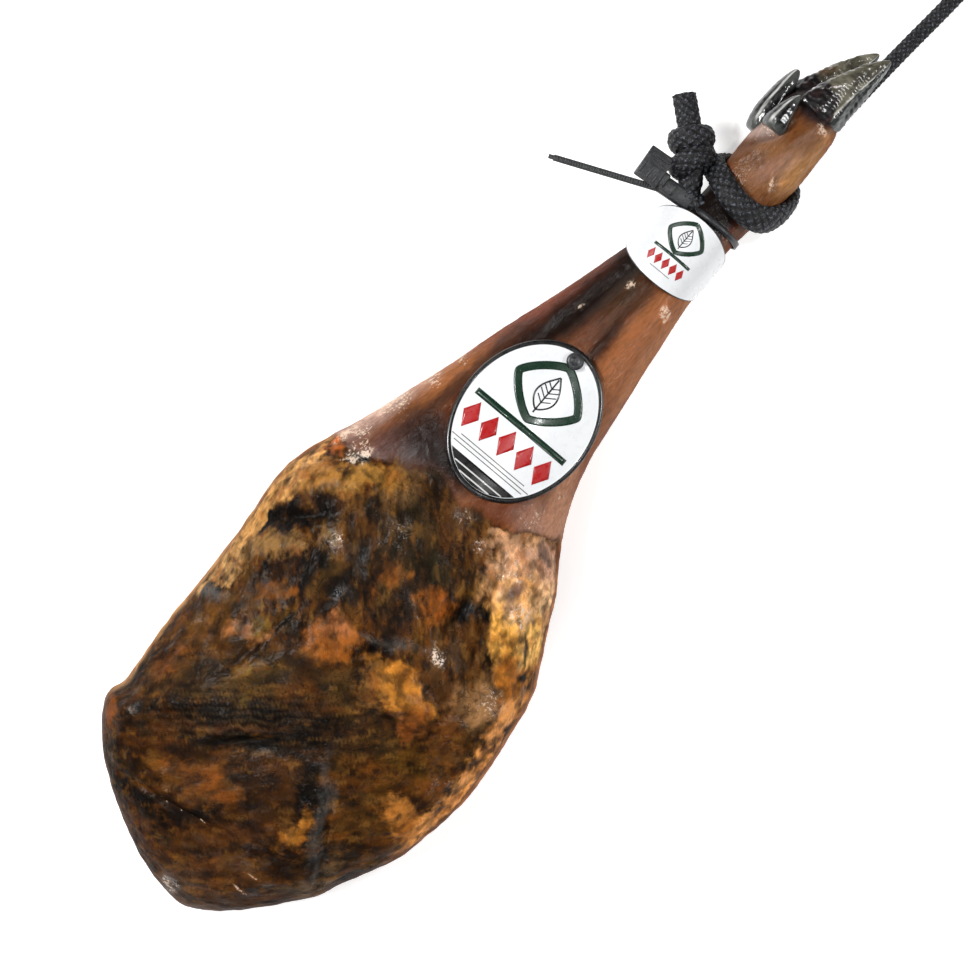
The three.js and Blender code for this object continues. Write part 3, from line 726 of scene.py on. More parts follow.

# Painted shade in pits, folds and grooves and under the label, with darker and grey patches of the flesh,
# which stay on top of the clouds, in the same form
SHADE = [
    ("pit of the bone", -70, 19, 27, 6, -47, INK, 0.95, 0.5),
    ("muscle edge", -58, 44, 58, 4, -50, SOOT, 0.7, 0.6),
    ("muscle, low edge", -34, 2, 36, 6, -48, SOOT, 0.7, 0.6),
    ("under the pink fat", 0, 56, 36, 2.5, -10, SOOT, 0.85, 0.6),
    ("seam shade", -68, -40, 28, 9, 36, SOOT, 0.85, 0.6),
    ("over the roll", 40, -7, 20, 5, -34, SOOT, 0.95, 0.5),
    ("left of the roll", 10, -46, 22, 5, 98, SOOT, 0.6, 0.7),
    ("by the orange fat", 104, -40, 12, 8, 20, SOOT, 0.95, 0.5),
    ("edge of the bulge", 113, -48, 4, 24, 10, SOOT, 0.95, 0.5),
    ("edge of the bulge, low", 88, -82, 22, 3, 52, SOOT, 0.7, 0.7),
    ("beside the slope", 80, 98, 26, 6, -46, SOOT, 0.95, 0.5),
    ("middle hollow", 56, 64, 28, 7, -6, SOOT, 0.85, 0.5),
    ("middle hollow, right", 72, 40, 26, 6, 6, SOOT, 0.75, 0.5),
    # Painted shadow under the oval label's edge
    ("under the label", 178, 38, 18, 16, -30, SOOT, 0.9, 0.8),
    ("spot in the streak", -129, 14, 8, 4.5, -44, INK, 0.9, 0.5),
    ("top left edge", -70, 108, 44, 4, -10, SOOT, 0.6, 0.6),
    ("slate seam", -80, -62, 42, 3.6, 30, COLD_GREY, 0.5, 0.9),
    ("slate patch", -4, 107, 10, 5, -56, COLD_GREY, 0.9, 0.6),
    ("slate arc over the roll", 54, -14, 20, 3, -62, COLD_GREY, 0.7, 0.9),
    ("beside the small fat", 82, -6, 30, 10, 14, srgb(30, 18, 10), 1.0, 0.8),
    ("above the middle fat", 46, 38, 16, 6, 30, srgb(30, 18, 10), 0.8, 0.8),
    ("over the roll's left side", 28, -12, 12, 6, 20, srgb(44, 26, 12), 0.8, 0.8),
    ("left of the gold lump", -118, -50, 9, 22, 0, srgb(44, 24, 12), 0.8, 0.8),
    ("low middle of the butt", -92, -12, 20, 16, 0, srgb(38, 22, 11), 0.65, 0.9),
    ("beside the streak", -136, 18, 7, 30, 10, srgb(40, 22, 10), 0.7, 0.8),
    ("under the tan slope", 32, 80, 16, 7, -20, srgb(52, 30, 14), 0.8, 0.8),
    ("beside the pink fat", -40, 70, 26, 12, -20, srgb(50, 32, 16), 0.6, 0.8),
    ("left of the middle fat", 4, 20, 7, 14, 20, srgb(50, 30, 14), 0.7, 0.8),
]

# Patches of fat, in the same form
FAT = [
    ("streak at the butt", -121, 40, 22, 7, 108, srgb(126, 74, 20), 0.9, 0.7),
    ("streak, orange part", -109, 11, 15, 7, 96, srgb(138, 74, 18), 0.85, 0.7),
    ("streak, faint end", -150, -6, 30, 9, 100, srgb(96, 56, 18), 0.5, 0.8),
    ("gold lump", -93, -53, 17, 9, 2, srgb(186, 118, 42), 1.1, 0.6),
    ("low gold", -142, -38, 18, 12, 80, srgb(104, 66, 20), 0.55, 0.8),
    ("brown under the seam", -46, -66, 20, 9, 30, srgb(84, 52, 22), 0.4, 0.7),
    ("hip bone knob", -114, 112, 16, 8, 24, srgb(134, 74, 28), 0.95, 0.4),
    ("roll", 34, -43, 26, 15, 98, srgb(206, 132, 48), 1.25, 0.4),
    ("roll, pale left side", 16, -28, 12, 9, 60, srgb(150, 102, 48), 0.8, 0.6),
    ("foot of the roll", 15, -67, 14, 10, 0, srgb(160, 88, 34), 0.9, 0.6),
    ("middle fat", 30, 15, 15, 19, 20, srgb(170, 96, 32), 1.0, 0.6),
    ("middle fat, pale", 39, 22, 9, 9, 20, PINK, 0.6, 0.7),
    ("pink fat", -8, 70, 16, 7, -50, srgb(178, 112, 62), 1.0, 0.6),
    ("pink fat, yellow end", 4, 70, 8, 7, -20, srgb(148, 116, 44), 0.9, 0.5),
    ("rusty tail", 30, 72, 16, 7, -20, srgb(136, 80, 26), 0.85, 0.5),
    ("yellow crumbs", -32, 51, 8, 5, -50, srgb(138, 112, 42), 0.7, 0.6),
    ("yellow crumbs, right", -40, 38, 7, 4, -50, srgb(126, 100, 40), 0.55, 0.6),
    ("brown crumbs at the top left", -24, 96, 22, 8, 6, srgb(134, 84, 32), 0.7, 0.6),
    ("rust at the top left", -60, 100, 20, 8, -10, srgb(128, 72, 28), 0.6, 0.6),
    ("tan slope", 56, 92, 22, 10, -48, TAN, 1.0, 0.6),
    ("pale crumbs on the flesh", 87, 61, 10, 6, 0, srgb(160, 130, 84), 0.5, 0.8),
    ("band under the skin", 130, 80, 40, 11, -50, srgb(172, 122, 54), 1.1, 0.6),
    ("band, lower part", 100, 109, 32, 9, -20, srgb(174, 118, 54), 1.0, 0.6),
    ("small fat", 92, 17, 11, 8, 60, srgb(140, 84, 32), 0.85, 0.6),
    ("small fat, tail", 73, 18, 9, 8, 40, srgb(130, 76, 28), 0.7, 0.5),
    ("orange fat", 98, -25, 14, 11, -10, srgb(164, 86, 24), 1.0, 0.6),
    ("low orange", -44, -110, 20, 15, 60, srgb(190, 120, 50), 1.1, 0.45),
    ("low orange, right", 6, -108, 26, 8, 0, srgb(128, 78, 32), 0.65, 0.6),
    ("low rim", -10, -125, 56, 8, 3, srgb(226, 150, 76), 1.15, 0.5),
    ("orange tongue", 69, -117, 22, 9, 16, srgb(222, 150, 84), 1.15, 0.5),
    ("bulge", 122, -86, 42, 20, 38, srgb(218, 154, 76), 1.2, 0.35),
    ("bulge, upper part", 158, -56, 38, 24, 34, srgb(222, 164, 100), 1.3, 0.3),
    ("bulge, gold core", 110, -82, 20, 13, 36, srgb(240, 172, 76), 1.2, 0.5),
    ("bulge, low part", 96, -102, 22, 12, 24, srgb(192, 116, 40), 1.0, 0.4),
    ("bulge, right edge", 150, -86, 26, 9, 44, srgb(238, 188, 134), 1.2, 0.6),
    ("bulge, light end", 116, -94, 15, 8, 30, srgb(240, 184, 98), 1.2, 0.6),
    ("bulge by the skin", 172, -66, 12, 16, 20, srgb(206, 156, 124), 1.15, 0.6),
    ("bulge, near end", 140, -38, 14, 8, 20, srgb(202, 146, 92), 1.0, 0.6),
    ("bulge, top", 164, -36, 16, 12, 40, srgb(196, 146, 106), 1.1, 0.6),
    ("top rim", 70, 120, 72, 8, 2, srgb(204, 148, 82), 1.2, 0.35),
    ("top rim, left end", 14, 114, 26, 8, -10, srgb(190, 144, 88), 1.0, 0.6),
    ("rust at the skin edge", 136, 108, 10, 4, -40, srgb(176, 92, 36), 0.9, 0.5),
]

# Clouds in the fat: colour, strength, where the noise starts and ends, size and seed
FAT_CLOUDS = [
    (RUST, 0.5, 0.0, 0.5, 11, 45),
    (OLIVE, 0.45, 0.1, 0.5, 9, 47),
    (UMBER, 0.45, 0.2, 0.6, 7, 46),
]

# Dark spots and cracks in the bulge of fat
CRACKS = [
    ("dark eye", 97, -109, 4, 3, 10, INK, 1.0, 0.4),
    ("crack", 108, -98, 9, 1.4, 40, SOOT, 0.8, 0.5),
    ("second crack", 116, -92, 7, 1.2, 52, SOOT, 0.8, 0.5),
    ("third crack", 124, -104, 6, 1.2, 30, SOOT, 0.8, 0.5),
    ("mauve bruise", 140, -62, 8, 4, 10, MAUVE, 0.7, 0.6),
    ("bruise by the skin", 176, -62, 9, 4, 60, MAUVE, 0.6, 0.6),
    ("bruise above", 190, -50, 8, 4, 30, MAUVE, 0.6, 0.6),
]

# Dark and light places of the skin, in the same form. Some are the skin's own colour, and some are painted
# shade in grooves, beside the labels and on the ankle, and painted highlights on the edges and the pastern
SKIN_MARKS = [
    ("purple skin at the cut", 170, 74, 28, 26, -20, srgb(92, 62, 54), 0.9, 0.7),
    ("amber upper flank", 222, 78, 50, 9, -14, srgb(170, 100, 46), 0.85, 0.6),
    ("red upper flank", 340, 52, 70, 12, -16, srgb(130, 62, 38), 0.9, 0.5),
    # Painted shadows beside and below the oval label
    ("shade left of the label", 186, 60, 20, 28, -20, srgb(40, 22, 16), 1.0, 0.7),
    ("shade below the label's left end", 182, 32, 12, 22, -10, srgb(30, 22, 19), 1.0, 0.8),
    ("pink by the bulge", 188, -48, 16, 16, 30, srgb(176, 128, 104), 0.85, 0.8),
    # Painted shadow along the oval label's upper edge
    ("shade over the label", 236, 67, 56, 5, -8, srgb(62, 34, 20), 0.8, 0.6),
    ("caramel belly", 330, -14, 80, 13, 3, srgb(164, 100, 58), 0.95, 0.5),
    ("light belly edge", 330, -29, 80, 5, 6, srgb(186, 122, 76), 0.6, 0.6),
    ("salmon low flank", 214, -46, 34, 10, 22, srgb(196, 138, 104), 0.85, 0.5),
    ("brown low flank", 250, -44, 30, 5, 12, srgb(140, 80, 52), 0.7, 0.5),
    # Painted sheen on the upper edge and at the cut
    ("sheen on the upper edge", 196, 101, 56, 9, -14, srgb(204, 172, 156), 0.9, 0.8),
    ("sheen at the cut", 156, 105, 24, 8, -20, srgb(160, 128, 116), 0.7, 0.9),
    # Partly the skin's darker colour and partly painted shade in the upper valley of the shank
    ("dark wedge, wide", 350, 30, 56, 15, -6, srgb(56, 34, 20), 0.85, 0.8),
    ("dark wedge", 332, 37, 66, 9, -12, SKIN_DARK, 1.0, 0.8),
    ("dark wedge, root", 300, 46, 30, 11, -24, SKIN_DARK, 0.8, 0.9),
    ("dark wedge, end", 380, 28, 26, 12, 4, SKIN_DARK, 0.95, 0.7),
    ("brown ridge", 318, 19, 24, 4, -6, srgb(112, 68, 48), 0.8, 0.9),
    ("brown ridge, far", 362, 16, 26, 8, 0, srgb(58, 38, 20), 0.8, 0.9),
    # Painted shade in the lower valley
    ("lower dark line", 322, 6, 38, 5, -2, srgb(36, 20, 12), 0.85, 0.9),
    ("lower dark line, end", 372, 5, 20, 6, 0, srgb(74, 44, 24), 0.7, 0.9),
    # Painted highlight on the ankle
    ("pink spot", 446, -14, 6, 4, 0, srgb(176, 104, 82), 0.9, 0.5),
    # Painted shade on the ankle between the seal's strap and the tie's collar
    ("dark ankle", 452, 8, 24, 26, 0, srgb(24, 15, 12), 1.0, 0.35),
    ("caramel pastern", 512, -4, 36, 24, 0, PASTERN, 1.0, 0.5),
    # Painted shade across the pastern and a painted highlight on it
    ("shade across the pastern", 500, 0, 7, 18, -8, srgb(98, 58, 32), 0.7, 0.9),
    ("light on the pastern", 524, -15, 22, 5, 6, srgb(196, 148, 108), 0.8, 0.9),
    ("gold pastern edge", 524, -24, 32, 6, 2, srgb(186, 132, 78), 0.85, 0.6),
    # Painted highlight on the pastern's top and painted shade in its fold
    ("pale pastern top", 527, 15, 14, 8, -36, srgb(214, 184, 172), 0.95, 0.7),
    ("dark pastern fold", 520, 12, 22, 3, -30, srgb(92, 58, 40), 0.7, 0.6),
    ("pink pastern middle", 504, -8, 18, 6, -20, srgb(168, 122, 98), 0.7, 0.6),
    ("brown pastern end", 538, -8, 14, 14, 0, srgb(112, 64, 28), 0.85, 0.6),
    ("purple coronet", 571, -3, 21, 29, 14, CORONET, 1.0, 0.3),
    ("dark heel", 548, 20, 24, 12, 0, srgb(58, 50, 47), 0.95, 0.5),
]

# Painted highlights on ridges and wet lines, laid into the colour: centre, half length, half width, turn,
# strength and softness
PAINTED_GLINTS = [
    ("bulge of fat", 156, -50, 34, 6, 44, 0.3, 0.9),
    ("bulge, second line", 136, -76, 24, 3, 40, 0.3, 0.9),
    ("wet ridge beside the roll", 70, -49, 24, 3, 58, 0.6, 0.9),
    ("band under the skin", 146, 88, 14, 2.5, -20, 0.8, 0.8),
    ("band, second line", 136, 96, 10, 1.8, -30, 0.7, 0.8),
    ("crease at the butt", -136, 20, 36, 0.9, -80, 0.75, 0.8),
    ("scratch", -141, -50, 7, 1.3, -77, 0.8, 0.8),
    ("second scratch", -157, -49, 8, 1.3, -95, 0.8, 0.8),
    ("low butt", -190, -8, 3, 12, 0, 0.4, 0.9),
    ("upper edge", 186, 100, 38, 5, -14, 0.65, 0.9),
    ("upper edge, far", 246, 84, 36, 3.2, -14, 0.65, 0.9),
    ("upper edge, left", 150, 107, 18, 4, -18, 0.8, 0.9),
    ("by the oval", 334, 37, 7, 1.2, -20, 0.8, 0.9),
    ("in the valley", 371, 17, 9, 1.8, -16, 0.85, 0.9),
    ("scar", 371, -13, 6, 2.5, 20, 0.9, 0.9),
    ("scar, low part", 366, -18, 4, 1.5, -20, 0.8, 0.9),
    ("pastern", 552, -17, 3, 9, -20, 0.8, 0.9),
    ("pastern whorl", 494, -14, 8, 1.4, 30, 0.7, 0.9),
    ("pastern whorl, edge", 500, -20, 7, 1.2, -20, 0.6, 0.9),
    ("heel", 528, 14, 9, 2, -36, 0.8, 0.9),
]

# Oily places: centre, reach and strength. The oil makes the coat glossy and adds to the pale flecks, which
# are partly crumbs and partly painted glints
WET_SPOTS = [
    (87, 61, 8, 1.0),
    (68, -47, 11, 0.9),
    (66, -100, 14, 1.0),
    (150, -52, 28, 0.6),
    (128, -74, 16, 0.8),
    (150, -21, 6, 1.2),
    (160, 2, 12, 0.7),
    (122, 30, 26, 0.5),
    (146, 92, 12, 1.1),
    (168, 66, 14, 0.5),
    (-188, -6, 11, 0.8),
    (-4, -110, 14, 0.6),
    (-20, 104, 16, 0.5),
    (192, 96, 18, 1.0),
    (224, 88, 14, 0.95),
    (252, 80, 12, 0.9),
    (160, 100, 12, 0.9),
    (190, -36, 15, 0.8),
    (214, -46, 12, 0.7),
    (372, 16, 7, 0.8),
    (370, -15, 7, 0.9),
    (445, -14, 6, 0.8),
    (528, 14, 9, 0.9),
    (546, -16, 8, 0.7),
    (496, -16, 9, 0.7),
]


def spread(points, x, y, along, across, turn, soft):
    """How much of each point an elliptic patch takes."""
    a, b = turned(points, x, y, turn)
    far = np.sqrt((a / along) ** 2 + (b / across) ** 2)
    return 1 - smoothstep(1 - soft, 1 + soft, far)


def paint(colours, points, rows):
    """The colours with named patches laid over them."""
    for _, x, y, along, across, turn, colour, strength, soft in rows:
        here = spread(points, x, y, along, across, turn, soft)
        colours = mix(colours, colour, np.clip(strength * here, 0, 1))
    return colours


def fat_and_its_colours(points):
    """The share of fat at each point, and the colour of the nearest patch."""
    share = np.zeros(len(points))
    colours = np.broadcast_to(OCHRE, (len(points), 3)).copy()
    for _, x, y, along, across, turn, colour, strength, soft in FAT:
        here = spread(points, x, y, along, across, turn, soft)
        near = spread(points, x, y, along * 1.25, across * 1.25, turn, soft)
        colours = mix(colours, colour, near)
        share = np.maximum(share, strength * here)
    return share, colours


def skin_edge(points):
    """How far a point is on the hoof side of the line where the skin was cut back."""
    x, y = points[:, 0], points[:, 1]
    line = 168 - 26 * smoothstep(30, 120, y) + 22 * smoothstep(-10, -70, y)
    return x - line


def copied_surface(node, voxel, passes):
    """Points, faces and normals of a node's surface with small even faces and its facets smoothed."""
    copy = linked("surface_copy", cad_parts[node].data.copy())
    work = bmesh.new()
    work.from_mesh(copy.data)
    bmesh.ops.remove_doubles(work, verts=work.verts, dist=1e-5)
    work.to_mesh(copy.data)
    work.free()
    remesh = copy.modifiers.new("remesh", "REMESH")
    remesh.mode = "VOXEL"
    remesh.voxel_size = voxel
    smoothing = copy.modifiers.new("smooth", "SMOOTH")
    smoothing.factor = 0.5
    smoothing.iterations = passes
    shown = copy.evaluated_get(bpy.context.evaluated_depsgraph_get())
    mesh = bpy.data.meshes.new_from_object(shown)
    points = np.zeros(len(mesh.vertices) * 3)
    mesh.vertices.foreach_get("co", points)
    normals = np.zeros(len(mesh.vertices) * 3)
    mesh.vertices.foreach_get("normal", normals)
    bpy.data.objects.remove(copy)
    return mesh, points.reshape(-1, 3) / MM, normals.reshape(-1, 3)


# Folds and swellings of the cut face: centre, half length, half width, turn and height
FOLDS = [
    ("crease at the butt", -137, 24, 42, 2.2, 101, -2.2),
    ("lip of the crease", -131, 24, 42, 3.6, 101, 1.2),
    ("streak of fat", -124, 24, 40, 8, 96, 1.2),
    ("gold lump", -98, -51, 22, 8, 2, 2.4),
    ("bone pit", -70, 18, 26, 7, -46, -2.6),
    ("muscle, first ridge", -52, 40, 62, 4, -50, 1.0),
    ("muscle, second ridge", -62, 22, 58, 4, -50, 0.8),
    ("seam", -80, -62, 46, 4.5, 30, 2.2),
    ("groove by the seam", -84, -70, 44, 3.5, 30, -1.6),
    ("roll", 29, -45, 30, 12, 96, 2.6),
    ("groove left of the roll", 10, -48, 26, 3, 100, -1.8),
    ("fold above the roll", 38, -9, 20, 4, -30, -3.0),
    ("middle fat", 24, 20, 20, 20, 20, 1.6),
    ("pink fat", -12, 68, 18, 7, -50, 1.6),
    ("line under the pink fat", -2, 57, 32, 2.4, -8, -1.6),
    ("slate patch", -4, 108, 11, 5, -56, 1.4),
    ("tan slope", 56, 92, 20, 9, -48, 1.8),
    ("dark fold beside the slope", 78, 98, 26, 5, -46, -2.6),
    ("dark flesh", 62, 40, 38, 6, 4, -1.6),
    ("band under the skin", 122, 84, 38, 10, -50, 1.6),
    ("orange fat", 96, -23, 15, 11, -10, 1.8),
    ("below the orange fat", 100, -42, 22, 4, 10, -2.4),
    ("ridge of wet flesh", 66, -52, 34, 5, 50, 1.6),
    ("groove beside it", 84, -60, 34, 4, 50, -1.6),
    ("edge of the bulge", 112, -60, 50, 3.5, 22, -2.4),
    ("bulge", 132, -76, 46, 18, 32, 1.6),
    ("low orange", -44, -106, 17, 12, 70, 1.6),
    ("hip bone knob", -114, 112, 12, 9, 24, 1.4),
]

# The same on the skin of the shank and foot
SKIN_FOLDS = [
    ("upper valley", 336, 35, 64, 6, -10, -3.0),
    ("ridge between", 335, 17, 50, 4.5, -3, 1.6),
    ("lower valley", 330, 4, 44, 3.5, -1, -2.0),
    ("belly", 330, -14, 60, 9, 3, 1.2),
    ("pastern hollow", 520, 12, 24, 4, -30, -2.8),
    ("pastern bulge", 500, 24, 20, 8, -10, 1.4),
    ("pastern middle", 524, -6, 30, 8, -8, 1.4),
    ("pastern line", 508, -16, 20, 2.5, 6, -2.2),
    ("whorl", 494, -14, 6, 4, 30, 2.2),
    ("scar", 371, -14, 6, 3, 20, 1.2),
]


def raised(points, rows):
    """The height in millimetres that named folds give each point."""
    height = np.zeros(len(points))
    for _, x, y, long, wide, turn, tall in rows:
        along, across = turned(points, x, y, turn)
        height += tall * np.exp(-((along / long) ** 4) - (across / wide) ** 2)
    return height


def muscle_share(points, half_long, half_wide):
    """The way across the striated muscle by the bone, and its share of each point."""
    along, across = turned(points, -55, 36, -50)
    return across, np.exp(-((along / half_long) ** 2) - (across / half_wide) ** 2)


def ham_relief(points, up, face, skin):
    """How far each point stands out, in millimetres."""
    x, y = points[:, 0], points[:, 1]
    lump = fractal(points, 34, 1, 2)
    butt, shank = (ridged(p, 15, 2, 3) for p in along_fibres(points, 0.5))
    flow = shank_share(points)
    fold = butt * (1 - flow) + shank * flow
    wrinkle = fibrous(points, 7, 4, 3)
    across, muscle = muscle_share(points, 72, 26)
    stripe = np.sin((across + 2.5 * fractal(points, 26, 5, 2)) * 2 * math.pi / 4.6)
    height = face * (1.3 * lump + (1 - 0.7 * muscle) * (1.5 * (fold - 0.6) + 0.7 * wrinkle))
    height += face * muscle * 0.3 * stripe
    grain = points * (0.25, 1, 1)
    height += skin * (0.5 * fractal(grain, 9, 6, 2) + 0.25 * fractal(points, 4, 7, 2))
    height += (1 - face) * (1 - skin) * (0.9 * lump + 0.5 * fractal(points, 12, 8, 3))
    edge = skin_edge(points)
    height += up * 1.6 * (smoothstep(-4, 4, edge) - 0.5) * np.exp(-((edge / 22) ** 2))
    height += face * FOLD_HEIGHT * raised(points, FOLDS) + skin * up * raised(points, SKIN_FOLDS)
    ripple = np.sin((y * 0.9 + x * 0.2 + 4 * fractal(points, 18, 9, 2)) * 2 * math.pi / 6.5)
    height += smoothstep(484, 500, x) * 0.35 * ripple * up
    return height


def flesh_colours(points, bent):
    """Brown flesh with rust, olive and black clouds, under its named patches."""
    colours = mix(BROWN, SOOT, smoothstep(-0.25, 0.4, fibrous(points, 24, 31, 3)))
    colours = mix(colours, OLIVE, 0.55 * smoothstep(0.0, 0.5, fractal(points, 22, 33, 3)))
    colours = mix(colours, ROAST, 0.5 * smoothstep(0.1, 0.5, fibrous(points, 20, 34, 3)))
    colours = paint(colours, bent, FLESH)
    colours = mix(colours, ROAST, 0.45 * smoothstep(0.2, 0.55, fibrous(points, 11, 35, 4, 0.6)))
    colours = mix(colours, MAROON, 0.4 * smoothstep(0.1, 0.5, fibrous(points, 12, 39, 3)))
    colours = mix(colours, SOOT, 0.6 * smoothstep(0.1, 0.5, fibrous(points, 9, 32, 4, 0.6)))
    colours = mix(colours, TAN, 0.3 * smoothstep(0.3, 0.6, fibrous(points, 7, 48, 3, 0.6)))
    # Painted shade and darker patches from SHADE
    colours = paint(colours, points + 0.5 * (bent - points), SHADE)
    across, muscle = muscle_share(points, 66, 20)
    wander = 3 * fractal(points, 26, 5, 2) + 1.4 * fractal(points, 9, 6, 2)
    stripe = np.sin((across + wander) * 2 * math.pi / 5.2)
    colours = mix(colours, SOOT, 0.65 * muscle * smoothstep(-0.1, 0.8, stripe))
    colours = mix(colours, srgb(104, 88, 76), 0.35 * muscle * smoothstep(-0.1, -0.8, stripe))
    dim = 0.78 - 0.24 * smoothstep(-60, -150, points[:, 0])
    dim *= np.clip((colours.mean(1) / 0.035) ** 0.5, 0.42, 1.25)
    return colours * dim[:, None] * (1, 0.88, 0.56)


def flank_colours(points, normals):
    """The rounded sides and the underside: fat near the cut, then rind."""
    x, y = points[:, 0], points[:, 1]
    blot = fractal(points, 16, 41, 3)
    colours = mix(RIM, srgb(168, 104, 52), smoothstep(-0.3, 0.4, blot))
    low = mix(srgb(198, 124, 62), srgb(150, 86, 40), smoothstep(-0.2, 0.4, blot))
    colours = mix(colours, low, smoothstep(20, -60, y))
    butt = mix(srgb(70, 42, 26), srgb(96, 58, 34), smoothstep(-0.2, 0.4, blot))
    colours = mix(colours, butt, smoothstep(-60, -110, x + 0.2 * y))
    rind = mix(SKIN, srgb(112, 66, 38), smoothstep(-0.2, 0.4, fractal(points, 40, 42, 3)))
    colours = mix(colours, rind, 0.85 * smoothstep(0.0, -0.5, normals[:, 2] + 0.25 * blot))
    return mix(colours, MAROON, 0.5 * smoothstep(0.2, 0.6, fractal(points, 8, 43, 3)))


def hide_colours(points, bent):
    """Smooth skin of the shank, with grain that runs along it."""
    grain = points * (0.3, 1, 1)
    colours = mix(SKIN, SKIN_LIGHT, smoothstep(-0.2, 0.5, fractal(grain, 14, 36, 3)) * 0.5)
    colours = mix(colours, SKIN_DARK, 0.35 * smoothstep(0.1, 0.6, fractal(grain, 9, 37, 3)))
    return paint(colours, bent, SKIN_MARKS)


def wetness(points):
    """How oily each point is."""
    wet = 0.2 + 0.3 * fractal(points, 26, 38, 3)
    for x, y, reach, strength in WET_SPOTS:
        far = np.hypot(points[:, 0] - x, points[:, 1] - y) / reach
        wet = np.maximum(wet, strength * np.exp(-(far**2)) * (1 + 0.5 * fractal(points, 9, 44, 2)))
    return np.clip(wet, 0, 1)


def painted_glints(points):
    """How much painted highlight each point takes from the ridges and wet lines."""
    glint = np.zeros(len(points))
    for _, x, y, along, across, turn, strength, soft in PAINTED_GLINTS:
        glint = np.maximum(glint, strength * spread(points, x, y, along, across, turn, soft))
    return glint


def noise_way(points, size, seeds, gain=0.5):
    """A way to shift each point, from three noises."""
    return np.stack([fractal(points, size, seed, 3, gain) for seed in seeds], axis=1)


def fat_colours(points, tones, warp):
    """The patches of fat with rust, olive and brown clouds, and their dark spots."""
    for colour, amount, low, high, size, seed in FAT_CLOUDS:
        tones = mix(tones, colour, amount * smoothstep(low, high, fractal(points, size, seed, 3)))
    tones = paint(tones, points + warp * 0.3, CRACKS)
    return tones * np.clip((tones.mean(1) / 0.27) ** 0.4, 0.5, 1.3)[:, None]


def make_ham():
    """The ham's surface, finer than the solid's, with its relief, its colours and its wet places."""
    mesh, points, normals = copied_surface("ham", HAM_VOXEL, SMOOTHING_PASSES)
    warp = noise_way(points, 24, (21, 22, 23)) * 9
    warp += noise_way(points, 7, (24, 25, 26), 0.6) * 3.5
    bent = points + warp
    up = smoothstep(0.12, 0.5, normals[:, 2])
    skin = smoothstep(-3, 4, skin_edge(points + warp * 0.6))
    off_floor = smoothstep(1.5, 6, points[:, 2])
    relief = ham_relief(points, up, up * (1 - skin), skin)
    shown = points + normals * (relief * off_floor + 0.35)[:, None]
    shown[:, 2] = np.maximum(shown[:, 2], 0.02)
    mesh.vertices.foreach_set("co", (shown * MM).ravel())
    mesh.polygons.foreach_set("use_smooth", [True] * len(mesh.polygons))
    mesh.materials.clear()
    mesh.materials.append(ham_finish())
    mesh.update()
    ham = linked("ham_surface", mesh)

    fat, fat_tone = fat_and_its_colours(bent)
    flesh = mix(flank_colours(points, normals), flesh_colours(points, bent), up)
    flesh = mix(flesh, hide_colours(points, points + warp * 0.25), skin)
    add_colours(ham, "flesh_tone", flesh * HAM_LEVEL)
    add_colours(ham, "fat_tone", fat_colours(points, fat_tone, warp) * HAM_LEVEL)
    add_values(ham, "fat", fat * (1 - skin) * smoothstep(-0.3, 0.1, normals[:, 2]))
    add_values(ham, "skin", np.maximum(skin, 1 - up) * 0.999)
    add_values(ham, "wet", wetness(points))
    # Painted highlights on the ridges and wet lines
    add_values(ham, "glint", painted_glints(points + warp * 0.2))
    add_values(ham, "shine", 0.1 + 0.9 * smoothstep(0.25, 0.8, normals[:, 2]))
    add_values(ham, "flow", shank_share(points))
    return ham


# Hoof

def horn_surface(name, ends, sag, width, depth, shape, finish, ridges, seed):
    """A horn from its root to its tip, with growth rings and long grooves.

    It also gives the place of each point, its angle round the horn and its share of the way along it.
    """
    rows, columns = HORN_GRID
    root, tip = ends
    taper, root_size, root_length = shape
    middle = (root + tip) / 2 + sag
    t = np.linspace(0, 1, rows) ** 0.9
    line = ((1 - t) ** 2)[:, None] * root + (2 * t * (1 - t))[:, None] * middle + (t**2)[:, None] * tip
    swell = root_size + (1 - root_size) * np.minimum(1, t / root_length) ** 0.5
    size = swell * np.maximum(1 - t, 0) ** taper / 2
    a = np.linspace(0, 2 * math.pi, columns, endpoint=False)
    side, sole = np.cos(a), np.sign(np.sin(a)) * np.abs(np.sin(a)) ** 0.85
    ring = (side * width)[:, None] * TOE_WAY + (sole * depth)[:, None] * SOLE_WAY
    rings = line[:, None, :] + size[:, None, None] * ring[None]
    out = ring / np.linalg.norm(ring, axis=1)[:, None]
    flat = rings.reshape(-1, 3)
    wave = fractal(flat * (0.4, 1, 1), 9, seed, 3)
    growth = np.sin((flat[:, 0] + 3 * wave) * 2 * math.pi / 5.5)
    groove = fractal(flat * (0.14, 1, 1), 4.5, seed + 1, 2)
    fade = np.repeat(smoothstep(1.0, 0.8, t), columns)
    height = (ridges * (0.25 * growth + 0.8 * groove) + 0.4 * wave) * fade
    flat = flat + np.tile(out, (rows, 1)) * height[:, None]
    made = ring_tube(name, flat.reshape(rows, columns, 3), [finish])
    degrees = np.tile(np.degrees((a + math.pi) % (2 * math.pi) - math.pi), rows)
    return made, flat, degrees, np.repeat(t, columns)


